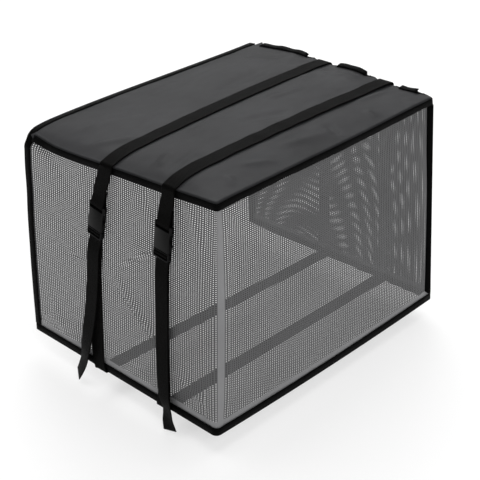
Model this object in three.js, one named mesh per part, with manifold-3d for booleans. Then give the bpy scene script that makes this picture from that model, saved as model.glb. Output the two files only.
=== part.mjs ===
// The outdoor cover of a window air conditioner: a coated cloth top, a sheer net that wraps the
// left side and the front, a second net on the right, binding tape on every edge, and two belts of
// webbing that go right round it and close with side-release buckles on the left.
// The back is open, and so is the bottom. Millimetres, +Z up, the front at -Y, the buckles at -X.
// The origin is the point under the middle of the top where the covered unit holds it up.
import * as THREE from "three";
import { mergeVertices } from "three/addons/utils/BufferGeometryUtils.js";
import Module from "manifold-3d";

const wasm = await Module();
wasm.setup();

// Driving sizes
const WIDTH = 510;
const DEPTH = 398;
const HEIGHT = 370;
const CROWN = 8.4;
const PANEL = 1.5;
const NET = 1.2;
const TAPE = 1;
const BOUND = 12;
const GAP = 0.3;
const WEBBING_WIDTH = 26;
const WEBBING = 1.6;
const CORNER_RADIUS = 9;
const RIM_RADIUS = 2.2;

const HALF_W = WIDTH / 2;
const HALF_D = DEPTH / 2;
const SEAM_INSET = TAPE + GAP;
const LIP_RADIUS = 2.5;
const NET_TOP_INSET = SEAM_INSET + PANEL + GAP + TAPE + 1;
const TAPED_END = BOUND + TAPE + GAP;

// Where the pulled and hanging corners of the cover lie, measured from a plain box
const corners = [
  { u: -1, v: -1, topX: 2.5, topY: -1.8, hemX: -13.9, hemY: -9.9, hemZ: -0.7 },
  { u: 1, v: -1, topX: -0.8, topY: 3.3, hemX: 10.9, hemY: -13.8, hemZ: -4 },
  { u: 1, v: 1, topX: 1.5, topY: -1.5, hemX: 11.5, hemY: 11.5, hemZ: 0 },
  { u: -1, v: 1, topX: -2, topY: 0, hemX: -8.3, hemY: 11.7, hemZ: 3.3 },
];
const HEM_SAG = 4.5;

// Heights of the top panel over its seams, in rows from back to front
const columns = { left: -255, shoulder: -232, inner: -190, third: -80, middle: 60, far: 190, right: 255 };
const heights = [
  { y: 199, left: -14, shoulder: -6.5, inner: -3, third: -1, middle: -1, far: -1, right: 0 },
  { y: 150, left: -12, shoulder: -4, inner: 1, third: 4, middle: 5, far: 5, right: 4 },
  { y: 90, left: -11, shoulder: -3, inner: 3, third: 8, middle: 9.5, far: 9, right: 9.5 },
  { y: 20, left: -7, shoulder: -0.5, inner: 3.5, third: 7, middle: 9, far: 8, right: 5.5 },
  { y: -45, left: -4, shoulder: 3, inner: 8, third: 11, middle: 11.5, far: 10, right: 9.5 },
  { y: -110, left: -1.5, shoulder: 6.5, inner: 10.5, third: 10.5, middle: 9, far: 4.5, right: 2.5 },
  { y: -160, left: 2, shoulder: 6.5, inner: 8.5, third: 8, middle: 7, far: 5, right: 3 },
  { y: -199, left: 4.5, shoulder: 5, inner: 4.5, third: 3.5, middle: 2, far: 3.5, right: 3 },
];

// Soft folds: a line on a wall from one end to the other, its width and how far it stands out
const leftFolds = [
  { y0: 5, z0: -188, y1: -85, z1: -269, width: 11, rise: 2.6 },
  { y0: -85, z0: -269, y1: -180, z1: -332, width: 12, rise: 2.2 },
  { y0: -35, z0: -136, y1: -90, z1: -92, width: 13, rise: 2 },
  { y0: -30, z0: -30, y1: -75, z1: -95, width: 16, rise: 2 },
  { y0: -150, z0: -45, y1: -178, z1: -300, width: 14, rise: 1.6 },
];
const frontFolds = [
  { x0: -238, z0: -30, x1: -232, z1: -345, width: 10, rise: 2 },
  { x0: -150, z0: -30, x1: -60, z1: -150, width: 26, rise: 1.6 },
  { x0: 226, z0: -40, x1: 214, z1: -330, width: 14, rise: 1.8 },
];

// The two belts: their row across the top and down the left wall, and their hanging tails
const straps = [
  {
    name: "rear",
    topLeft: 14,
    topRight: 28,
    buckleDepth: 65,
    rows: [
      { depth: 0, y: 14 },
      { depth: 25, y: 21.5 },
      { depth: 65, y: 32 },
      { depth: 122, y: 41.7 },
      { depth: 200, y: 46.5 },
      { depth: 300, y: 48 },
      { depth: 370, y: 46 },
    ],
    tail: [
      { z: -156, y: 47, out: 5.2, twist: 0 },
      { z: -205, y: 51, out: 5.6, twist: 0 },
      { z: -262, y: 58.5, out: 6.2, twist: 0.03 },
      { z: -305, y: 67, out: 7.2, twist: 0.06 },
      { z: -338, y: 74, out: 8, twist: 0.2 },
      { z: -362, y: 78.5, out: 8.5, twist: 0.38 },
      { z: -379, y: 84.5, out: 10.5, twist: 0.45 },
      { z: -392, y: 90.5, out: 12, twist: 0.55 },
    ],
  },
  {
    name: "front",
    topLeft: -113,
    topRight: -102,
    buckleDepth: 55,
    rows: [
      { depth: 0, y: -113 },
      { depth: 25, y: -109.5 },
      { depth: 55, y: -104.3 },
      { depth: 112, y: -98.3 },
      { depth: 200, y: -94.7 },
      { depth: 300, y: -95 },
      { depth: 370, y: -97 },
    ],
    tail: [
      { z: -148, y: -100, out: 5.2, twist: 0 },
      { z: -205, y: -100.3, out: 5.4, twist: 0 },
      { z: -262, y: -100.3, out: 5.6, twist: 0 },
      { z: -315, y: -102, out: 6.2, twist: 0.03 },
      { z: -345, y: -106, out: 7.5, twist: 0.12 },
      { z: -362, y: -113, out: 8.8, twist: 0.32 },
      { z: -375, y: -114.5, out: 8.8, twist: 0.24 },
      { z: -387, y: -115, out: 8, twist: 0.05 },
      { z: -400, y: -117.5, out: 7, twist: -0.1 },
    ],
  },
];

const BUCKLE_SUNK = 0.5;
const BUCKLE = { length: 57, width: 32.4, ears: 34.6, thickness: 9, bodyEnd: 43, maleStart: 43.4 };

const clothColours = {
  panel: { color: 0x454548, roughness: 0.62 },
  net: { color: 0x6d6f72, roughness: 0.75 },
  tape: { color: 0x141414, roughness: 0.8 },
  webbing: { color: 0x0e0e0e, roughness: 0.85 },
  buckle: { color: 0x101010, roughness: 0.38 },
};

// Small maths
const lerp = (a, b, k) => a + (b - a) * k;
const clamp01 = (k) => Math.min(1, Math.max(0, k));
const ease = (from, to, q) => {
  const k = clamp01((q - from) / (to - from));
  return k * k * (3 - 2 * k);
};
const spread = (from, to, steps) => Array.from({ length: steps + 1 }, (_, i) => lerp(from, to, i / steps));

// A smooth curve through known values
function through(knots, values, q) {
  const last = knots.length - 1;
  let i = 0;
  while (i < last - 1 && (knots[i + 1] - q) * (knots[1] - knots[0]) < 0) i += 1;
  const slope = (j) => {
    const a = Math.max(0, j - 1);
    const b = Math.min(last, j + 1);
    return (values[b] - values[a]) / (knots[b] - knots[a]);
  };
  const span = knots[i + 1] - knots[i];
  const k = clamp01((q - knots[i]) / span);
  const k2 = k * k;
  const k3 = k2 * k;
  return (
    (2 * k3 - 3 * k2 + 1) * values[i] +
    (k3 - 2 * k2 + k) * span * slope(i) +
    (3 * k2 - 2 * k3) * values[i + 1] +
    (k3 - k2) * span * slope(i + 1)
  );
}

function blendCorners(x, y, key) {
  return corners.reduce(
    (sum, c) => sum + (c[key] * (1 + (c.u * x) / HALF_W) * (1 + (c.v * y) / HALF_D)) / 4,
    0,
  );
}

// Height of the top panel's outer face at a point of the plan
const columnNames = Object.keys(columns);
const columnX = Object.values(columns);
const rowY = heights.map((row) => row.y);
function panelHeight(x, y) {
  const alongX = heights.map((row) => through(columnX, columnNames.map((name) => row[name]), x));
  return through(rowY, alongX, y) - CROWN;
}

// The rear left corner of the top sags into a round shoulder, so the seam lies further in there
const shoulderInset = (y) => 8 * ease(125, HALF_D, y);

function panelPoint(x, y) {
  return new THREE.Vector3(
    x + blendCorners(x, y, "topX"),
    y + blendCorners(x, y, "topY"),
    panelHeight(x, y),
  );
}

// Plan of the walls, walked from the rear left corner round the front to the rear right corner
const leftRows = spread(HALF_D, -HALF_D + CORNER_RADIUS, 15);
leftRows.splice(1, 0, HALF_D - TAPED_END);
const frontRows = spread(-HALF_W + CORNER_RADIUS, HALF_W - 20, 18);
const rightRows = spread(-HALF_D + 20, HALF_D, 12);
rightRows.splice(rightRows.length - 1, 0, HALF_D - TAPED_END);
const leftPlan = leftRows.map((y) => ({ x: -HALF_W, y, nx: -1, ny: 0 }));
const roundPlan = spread(0, Math.PI / 2, 4)
  .slice(1, -1)
  .map((a) => ({
    x: -HALF_W + CORNER_RADIUS * (1 - Math.cos(a)),
    y: -HALF_D + CORNER_RADIUS * (1 - Math.sin(a)),
    nx: -Math.cos(a),
    ny: -Math.sin(a),
  }));
const frontPlan = frontRows.map((x) => ({ x, y: -HALF_D, nx: 0, ny: -1 }));
const cornerPlan = { x: HALF_W, y: -HALF_D, nx: 1, ny: -1 };
const rightPlan = rightRows.map((y) => ({ x: HALF_W, y, nx: 1, ny: 0 }));

const seamLevel = (p) => panelHeight(p.x, p.y);
const hemLevel = (p) =>
  -HEIGHT - CROWN + blendCorners(p.x, p.y, "hemZ") - HEM_SAG * (1 - (p.x / HALF_W) ** 2) * (p.y < 0 ? -p.y / HALF_D : 0);

function foldRise(folds, a, z, keys) {
  return folds.reduce((sum, fold) => {
    const [a0, a1] = [fold[keys[0]], fold[keys[1]]];
    const along = [a1 - a0, fold.z1 - fold.z0];
    const length = Math.hypot(along[0], along[1]);
    const k = ((a - a0) * along[0] + (z - fold.z0) * along[1]) / length ** 2;
    const off = ((a - a0) * along[1] - (z - fold.z0) * along[0]) / length;
    const fade = ease(-0.25, 0.2, k) * (1 - ease(0.8, 1.25, k));
    return sum + fold.rise * fade * Math.exp(-((off / fold.width) ** 2));
  }, 0);
}

// How far a wall's cloth bellies out or folds at a point, faded out beside its seams and belts
function wallBelly(p, z, seam, hem) {
  const depth = seam - z;
  const pressed = straps.reduce(
    (free, strap) => free * (1 - 0.9 * Math.exp(-(((p.y - strapRowY(strap, depth)) / 26) ** 4))),
    1,
  );
  const flat = p.nx === 0 ? 1 : pressed;
  const clear = flat * ease(16, 50, depth) * (1 - ease(-60, -14, hem - z));
  const left = foldRise(leftFolds, p.y, z + CROWN, ["y0", "y1"]);
  const front = foldRise(frontFolds, p.x, z + CROWN, ["x0", "x1"]);
  const middle = Math.sin(Math.PI * clamp01(depth / HEIGHT));
  if (p.nx < -0.9) return clear * (left + 0.8 * middle);
  if (p.nx > 0.9) return clear * middle;
  return clear * (p.nx < 0 ? 0.5 : front + 1.2 * middle);
}

// The rear of the left wall swells out under its shoulder, most just below the seam
function rearSwell(p, depth) {
  if (p.nx > -0.9) return 0;
  const slack = (1 - 0.4 * ease(38, 108, depth)) * (1 - 0.45 * ease(108, 198, depth));
  return 6 * ease(110, 190, p.y) * ease(13, 24, depth) * slack * (1 - ease(198, 370, depth));
}

// A point of a wall at a depth under its seam, set out from the plan by `out`
function wallPoint(p, depth, out) {
  const seam = seamLevel(p);
  const hem = hemLevel(p);
  const k = depth / (seam - hem);
  const z = seam - depth;
  const opened = 0.35 * ease(0, 14, depth) + 0.65 * ease(13, 28, depth);
  const shoulder = p.nx < -0.9 ? shoulderInset(p.y) * (1 - opened) : 0;
  const reach = out + wallBelly(p, z, seam, hem) + rearSwell(p, depth) - shoulder;
  return new THREE.Vector3(
    p.x + lerp(blendCorners(p.x, p.y, "topX"), blendCorners(p.x, p.y, "hemX"), k) + p.nx * reach,
    p.y + lerp(blendCorners(p.x, p.y, "topY"), blendCorners(p.x, p.y, "hemY"), k) + p.ny * reach,
    z,
  );
}

// The rows of a wall: fixed ones beside the tapes, and even ones between them
const UNDER_PANEL = 2.4;
const FLANGE_FROM = BOUND + TAPE + GAP + 0.5;
const FLANGE_FULL = FLANGE_FROM + 4;
const FLANGE_HALF = (FLANGE_FROM + FLANGE_FULL) / 2;
const wallRows = [
  ...[UNDER_PANEL, FLANGE_FROM, FLANGE_HALF, FLANGE_FULL].map((mm) => ({ k: 0, mm })),
  ...spread(0.09, 0.91, 10).map((k) => ({ k, mm: 0 })),
  ...[-FLANGE_FULL, -FLANGE_HALF, -FLANGE_FROM, -TAPE - GAP].map((mm) => ({ k: 1, mm })),
];
const depthOf = (p, row) => row.k * (seamLevel(p) - hemLevel(p)) + row.mm;
const netTopInset = (y) => NET_TOP_INSET + 1.4 * ease(160, 180, y);
const netOut = (p, depth) => -lerp(netTopInset(p.y), SEAM_INSET, ease(0, 190, depth));

// Turns an open sheet of outer points and faces into a closed solid of one thickness
function thicken(points, faces, thickness) {
  const normals = points.map(() => new THREE.Vector3());
  const edges = new Map();
  for (const [a, b, c] of faces) {
    const normal = new THREE.Vector3()
      .subVectors(points[b], points[a])
      .cross(new THREE.Vector3().subVectors(points[c], points[a]));
    for (const i of [a, b, c]) normals[i].add(normal);
    for (const [i, j] of [[a, b], [b, c], [c, a]]) {
      if (edges.has(`${j},${i}`)) edges.delete(`${j},${i}`);
      else edges.set(`${i},${j}`, [i, j]);
    }
  }
  const inner = points.map((p, i) => p.clone().addScaledVector(normals[i].normalize(), -thickness));
  const shift = points.length;
  const index = faces.flatMap(([a, b, c]) => [a, b, c, c + shift, b + shift, a + shift]);
  for (const [i, j] of edges.values()) index.push(j, i, i + shift, j, i + shift, j + shift);
  return solid([...points, ...inner], index);
}

function solid(points, index) {
  const geometry = new THREE.BufferGeometry().setFromPoints(points);
  geometry.setIndex(index);
  geometry.computeVertexNormals();
  return geometry;
}

// The faces of a grid of points, listed column by column
function gridFaces(columnCount, rowCount) {
  const faces = [];
  for (let i = 0; i < columnCount - 1; i += 1)
    for (let j = 0; j < rowCount - 1; j += 1) {
      const a = i * rowCount + j;
      faces.push([a, a + 1, a + rowCount], [a + rowCount, a + 1, a + rowCount + 1]);
    }
  return faces;
}

// Sweeps a flat outline through stations; each holds a point and the outline's two directions
function sweep(outline, stations) {
  const count = outline.length;
  const points = stations.flatMap((s) =>
    outline.map(([a, b]) => s.at.clone().addScaledVector(s.across, a).addScaledVector(s.up, b)),
  );
  const index = [];
  for (let i = 0; i < stations.length - 1; i += 1)
    for (let j = 0; j < count; j += 1) {
      const a = i * count + j;
      const b = i * count + ((j + 1) % count);
      index.push(a, b, a + count, b, b + count, a + count);
    }
  const cap = THREE.ShapeUtils.triangulateShape(outline.map(([a, b]) => new THREE.Vector2(a, b)), []);
  const end = (stations.length - 1) * count;
  for (const [a, b, c] of cap) index.push(c, b, a, a + end, b + end, c + end);
  const geometry = solid(points, index);
  if (volumeOf(points, index) < 0) {
    geometry.setIndex(index.map((_, i) => index[i - (i % 3) + (2 - (i % 3))]));
    geometry.computeVertexNormals();
  }
  return geometry;
}

function volumeOf(points, index) {
  let sum = 0;
  for (let i = 0; i < index.length; i += 3) {
    const [a, b, c] = [points[index[i]], points[index[i + 1]], points[index[i + 2]]];
    sum += a.dot(new THREE.Vector3().crossVectors(b, c)) / 6;
  }
  return sum;
}

// Binding tape folded over an edge: a channel whose slot takes cloth of one thickness
function foldedTape(slot, leg) {
  const half = slot / 2 + GAP;
  const fold = -GAP - 0.15;
  return [
    [leg, half + TAPE],
    [fold - TAPE, half + TAPE],
    [fold - TAPE, -half - TAPE],
    [leg, -half - TAPE],
    [leg, -half],
    [fold, -half],
    [fold, half],
    [leg, half],
  ];
}

const up = new THREE.Vector3(0, 0, 1);
const unit = (from, to) => new THREE.Vector3().subVectors(to, from).normalize();

// Stations along a cloth's edge for a folded tape, mitred where the edge turns
function edgeStations(path) {
  const last = path.length - 1;
  return path.map(({ edge, inside }, i) => {
    const arriving = unit(path[Math.max(0, i - 1)].edge, path[Math.max(1, i)].edge);
    const leaving = unit(path[Math.min(last - 1, i)].edge, path[Math.min(last, i + 1)].edge);
    const ahead = arriving.clone().add(leaving).normalize();
    const inward = unit(edge, inside);
    const normal = new THREE.Vector3().crossVectors(inward, ahead).normalize();
    return { at: edge, across: inward, up: normal.multiplyScalar(1 / ahead.dot(arriving)) };
  });
}

// Top panel
const FLAT_INSET = SEAM_INSET + LIP_RADIUS;
const rimStep = RIM_RADIUS / (WIDTH - 2 * FLAT_INSET);
const panelColumns = [0, rimStep, 0.02, 0.045, 0.08, ...spread(0.12, 0.9, 14), 0.94, 0.965, 1 - rimStep, 1];
const TAPED_ROW = HALF_D - TAPED_END;
const BENT_ROW = TAPED_ROW - 6;
const frontRim = -HALF_D + FLAT_INSET;
const panelRows = [
  HALF_D, HALF_D - 7, TAPED_ROW, TAPED_ROW - 2.6, BENT_ROW, 165, 145, 120, 95, 68, 46, 33, 20, 7, -8, -27, -48, -70,
  -88, -97, -110, -123, -138, -158, -177, -188, frontRim + RIM_RADIUS, frontRim,
];
const bentOut = (y) => ease(TAPED_ROW, TAPED_ROW - 2.6, y);
const bentDown = (y) => ease(TAPED_ROW - 1.8, BENT_ROW, y);
const edgeInset = (y) => lerp(netTopInset(y) + NET / 2 + 1.7, FLAT_INSET, bentOut(y));
const panelLeft = (y) => -HALF_W + edgeInset(y) + shoulderInset(y);
const panelRight = (y) => HALF_W - edgeInset(y);
const panelX = (fraction, y) => lerp(panelLeft(y), panelRight(y), fraction);

// The panel's edge turns down into a lip: out and down from the rim of the flat part
const bentLip = [
  { out: 1.77, down: 0.73 },
  { out: LIP_RADIUS, down: LIP_RADIUS },
  { out: LIP_RADIUS, down: BOUND * 0.55 },
  { out: LIP_RADIUS, down: BOUND },
];
const flatLip = [0.15, 0.3, 0.45, 0.6].map((out) => ({ out, down: out * 0.3 }));
const lipWave = (run) => 0.9 + 0.45 * Math.sin(run / 31) + 0.3 * Math.sin(run / 13 + 1);
const shoulderTilt = (y) => 4 * ease(120, BENT_ROW, y);

// The flat part of the panel, its two front corners drawn in to a small round
function flatPoint(i, j) {
  const y = panelRows[j];
  const x = panelX(panelColumns[i], y);
  const corner = j === panelRows.length - 1 && (i === 0 || i === panelColumns.length - 1);
  const inwards = corner ? RIM_RADIUS * (1 - Math.SQRT1_2) : 0;
  return panelPoint(x - Math.sign(x) * inwards, y + inwards);
}

// The rim of the flat part, walked from the rear left round the front to the rear right,
// with the direction in which its lip turns out and the length walked so far
function walkRim() {
  const lastRow = panelRows.length - 1;
  const lastColumn = panelColumns.length - 1;
  const places = [
    ...panelRows.map((_, j) => [0, j]),
    ...panelColumns.slice(1).map((_, i) => [i + 1, lastRow]),
    ...panelRows.slice(0, -1).map((_, j) => [lastColumn, lastRow - 1 - j]),
  ];
  const points = places.map(([i, j]) => flatPoint(i, j));
  let run = 0;
  return places.map(([i, j], k) => {
    const level = (a, b) => unit(points[a].clone().setZ(0), points[b].clone().setZ(0));
    const last = points.length - 1;
    const arriving = level(Math.max(0, k - 1), Math.max(1, k));
    const leaving = level(Math.min(last - 1, k), Math.min(last, k + 1));
    const ahead = arriving.clone().add(leaving).normalize();
    const mitre = 1 / ahead.dot(arriving);
    const out = new THREE.Vector3(ahead.y, -ahead.x, 0).multiplyScalar(mitre);
    run += k ? points[k].distanceTo(points[k - 1]) : 0;
    const y = panelRows[j];
    const tilt = lipWave(run) + (i === 0 ? shoulderTilt(y) : 0);
    return { i, j, point: points[k], out, tilt, y };
  });
}
const rim = walkRim();

function lipPoint(station, ring) {
  const bentStep = bentLip[ring];
  const flatStep = flatLip[ring];
  const tilt = (bentStep.down / BOUND) * station.tilt;
  const out = lerp(flatStep.out, bentStep.out + tilt, bentOut(station.y));
  const down = lerp(flatStep.down, bentStep.down, bentDown(station.y));
  return station.point.clone().addScaledVector(station.out, out).addScaledVector(up, -down);
}

function makeTopPanel() {
  const rows = panelRows.length;
  const points = [];
  for (let i = 0; i < panelColumns.length; i += 1)
    for (let j = 0; j < rows; j += 1) points.push(flatPoint(i, j));
  const faces = gridFaces(panelColumns.length, rows);
  let previous = rim.map((s) => s.i * rows + s.j);
  bentLip.forEach((_, ring) => {
    const next = rim.map((s) => points.push(lipPoint(s, ring)) - 1);
    for (let k = 0; k < rim.length - 1; k += 1)
      faces.push([previous[k + 1], previous[k], next[k]], [previous[k + 1], next[k], next[k + 1]]);
    previous = next;
  });
  return thicken(points, faces, PANEL);
}

// Seam tape: folded over the lip on the left, the front and the right
function makeSeamTape() {
  const path = rim
    .filter((s) => bentDown(s.y) === 1)
    .map((s) => {
      const inside = s.out.clone().normalize().multiplyScalar(-PANEL / 2);
      return {
        edge: lipPoint(s, bentLip.length - 1).add(inside).addScaledVector(up, -0.2),
        inside: lipPoint(s, 1).add(inside),
      };
    });
  return sweep(foldedTape(PANEL + 0.7, BOUND - LIP_RADIUS - GAP), edgeStations(path));
}

// The corner seam: both nets turn out into a flange that a tape binds
const DIAGONAL = new THREE.Vector3(1, -1, 0).normalize();
const ACROSS = new THREE.Vector3(1, 1, 0).normalize();
const FLANGE = 8.7;
const LEAST_FLANGE = 1.2;
const flangeShare = (depth, seamToHem) =>
  ease(FLANGE_FROM, FLANGE_FULL, depth) * ease(FLANGE_FROM, FLANGE_FULL, seamToHem - depth);

function flangePoints(row) {
  const p = cornerPlan;
  const depth = depthOf(p, row);
  const whole = seamLevel(p) - hemLevel(p);
  const share = flangeShare(depth, whole);
  const base = wallPoint({ ...p, nx: 0, ny: 0 }, depth, 0);
  const tip = base.clone().addScaledVector(DIAGONAL, -1.6);
  const root = tip.clone().addScaledVector(DIAGONAL, -FLANGE);
  return { depth, share, base, tip, root, inset: -netOut(p, depth) };
}

function flangeColumn(row, side, end) {
  const { share, base, tip, root, inset } = flangePoints(row);
  const half = NET + GAP / 2 + 0.08;
  const turned = (end === "tip" ? tip : root).clone().addScaledVector(ACROSS, side * half);
  const back = end === "tip" ? 0 : LEAST_FLANGE;
  const straight =
    side < 0
      ? new THREE.Vector3(base.x - inset - NET - 2 * GAP - 0.15 - back, base.y + inset, base.z)
      : new THREE.Vector3(base.x - inset, base.y + inset + GAP + back, base.z);
  const parted = 4 * share * (1 - share);
  return straight.lerp(turned, share).addScaledVector(ACROSS, side * parted);
}

function netSheet(plan, columnsBefore, columnsAfter) {
  const planColumns = plan.map((p) =>
    wallRows.map((row) => {
      const depth = depthOf(p, row);
      return wallPoint(p, depth, netOut(p, depth));
    }),
  );
  const all = [...columnsBefore, ...planColumns, ...columnsAfter];
  return thicken(all.flat(), gridFaces(all.length, wallRows.length), NET);
}

const flange = (side, ends) => ends.map((end) => wallRows.map((row) => flangeColumn(row, side, end)));
const makeLeftFrontNet = () =>
  netSheet([...leftPlan, ...roundPlan, ...frontPlan], [], flange(-1, ["root", "tip"]));
const makeRightNet = () => netSheet(rightPlan, flange(1, ["tip", "root"]), []);

function makeCornerTape() {
  const path = wallRows
    .map((row) => flangePoints(row))
    .filter((f) => f.share > 0.99)
    .map((f) => ({ edge: f.tip, inside: f.root }));
  for (const [end, drawn] of [[path[0], -0.8], [path[path.length - 1], 0.8]]) {
    end.edge.z += drawn;
    end.inside.z += drawn;
  }
  return sweep(foldedTape(2 * NET + GAP + 0.8, FLANGE - GAP), edgeStations(path));
}

// Hem tape: folded over the lower edge of both nets
function makeHemTape() {
  const plan = [...leftPlan, ...roundPlan, ...frontPlan, cornerPlan, ...rightPlan];
  const mid = -SEAM_INSET - NET / 2;
  const path = plan.map((p) => {
    const edgeDepth = seamLevel(p) - hemLevel(p) - TAPE - GAP;
    return { edge: wallPoint(p, edgeDepth, mid), inside: wallPoint(p, edgeDepth - BOUND, mid) };
  });
  return sweep(foldedTape(NET + 0.2, BOUND), edgeStations(path));
}

// Back tape: up the left rear edge, across the top's back edge and down the right rear edge
function makeBackTape() {
  const innerY = HALF_D - BOUND;
  const wallEdge = (p, depth) => {
    const out = netOut(p, depth) - NET / 2;
    return { edge: wallPoint(p, depth, out), inside: wallPoint({ ...p, y: innerY }, depth, out) };
  };
  const panelMiddle = (x, y) => panelPoint(x, y).addScaledVector(up, -PANEL / 2);
  const leftEnd = leftPlan[0];
  const rightEnd = rightPlan[rightPlan.length - 1];
  const lastRow = wallRows.length - 1;
  const uprightOf = (p, from) => wallRows.slice(from, lastRow).map((row) => wallEdge(p, depthOf(p, row)));
  const cornerOf = (p) => {
    const corner = wallEdge(p, PANEL / 2);
    const outerX = p.x - p.nx * (netTopInset(p.y) + NET / 2 + (p.nx < 0 ? shoulderInset(p.y) : 0));
    for (const point of Object.values(corner)) point.z = panelHeight(outerX, point.y) - PANEL / 2;
    return corner;
  };
  const across = panelColumns
    .slice(1, -1)
    .map((fraction) => ({
      edge: panelMiddle(panelX(fraction, HALF_D), HALF_D),
      inside: panelMiddle(panelX(fraction, innerY), innerY),
    }));
  const path = [
    ...uprightOf(leftEnd, 0).reverse(),
    cornerOf(leftEnd),
    ...across,
    cornerOf(rightEnd),
    ...uprightOf(rightEnd, 1),
  ];
  return sweep(foldedTape(PANEL + 0.4, BOUND), edgeStations(path));
}

// A side-release buckle's own frame: `q` runs down the belt, `b` across it and `n` out of the wall
function buckleFrame(strap) {
  const wall = (depth) => {
    const p = { x: -HALF_W, y: strapRowY(strap, depth), nx: 0, ny: 0 };
    return wallPoint(p, depth, 0);
  };
  const at = wall(strap.buckleDepth);
  const q = unit(at, wall(strap.buckleDepth + BUCKLE.length));
  at.x += BUCKLE_SUNK;
  const n = new THREE.Vector3(-1, 0, 0);
  n.addScaledVector(q, -n.dot(q)).normalize();
  const b = new THREE.Vector3().crossVectors(n, q);
  return { at, q, n, b };
}
const inBuckle = (frame, q, n) =>
  frame.at.clone().addScaledVector(frame.q, q).addScaledVector(frame.n, n);

// The belt's way through the buckle: the sewn loop over the upper bar, and the sliding lower part
const BARS = { upper: { q: 3, n: 4.4, half: 1.5 }, middle: { q: 49.5, n: 5, half: 1.3 } };
const BAR_TURN = 3.2;
const turnAt = (bar, angle) => ({
  q: bar.q + BAR_TURN * Math.cos(angle),
  n: bar.n + BAR_TURN * Math.sin(angle),
});
const sewnLoop = [
  { q: -24, n: 1.5 },
  { q: -8, n: 1.3 },
  ...spread(-Math.PI / 2, Math.PI / 2, 4).map((a) => turnAt(BARS.upper, a)),
  { q: -5, n: 6.2 },
  { q: -14, n: 4.6 },
  { q: -24, n: 4.2 },
];
const slider = [
  { q: 70, n: 1.2 },
  { q: 56, n: 1.1 },
  { q: 48.6, n: 1.1 },
  { q: 46.9, n: 2.3 },
  ...spread(Math.PI, 0, 4).map((a) => turnAt(BARS.middle, a)),
  { q: 53.7, n: 3.5 },
  { q: 56.2, n: 3.05 },
  { q: 63, n: 3.1 },
];

function strapRowY(strap, depth) {
  return through(strap.rows.map((r) => r.depth), strap.rows.map((r) => r.y), depth);
}
const strapTopY = (strap, x) => lerp(strap.topLeft, strap.topRight, (x + HALF_W) / WIDTH);
const STRAP_CLEAR = 0.5;

// The highest panel point under the belt's width, so that the belt rests on it
function strapRest(strap, x) {
  const y = strapTopY(strap, x);
  const offsets = spread(-WEBBING_WIDTH / 2, WEBBING_WIDTH / 2, 6);
  return Math.max(...offsets.map((o) => panelHeight(x, y + o))) + STRAP_CLEAR + WEBBING / 2;
}

// The belt turns over the top's edge or under the hem on a quarter circle
function quarter(centre, radius, from, to, y, side) {
  return spread(from, to, 4).map((a) => ({
    at: new THREE.Vector3(centre.x + side * radius * Math.cos(a), y, centre.z + radius * Math.sin(a)),
    out: new THREE.Vector3(side * Math.cos(a), 0, Math.sin(a)),
  }));
}

const EDGE_TURN = 7;
const EDGE_OUT = 3.4;
const HEM_TURN = 3;
const HEM_OUT = 2;
const UNDER_RUN = 2;

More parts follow.
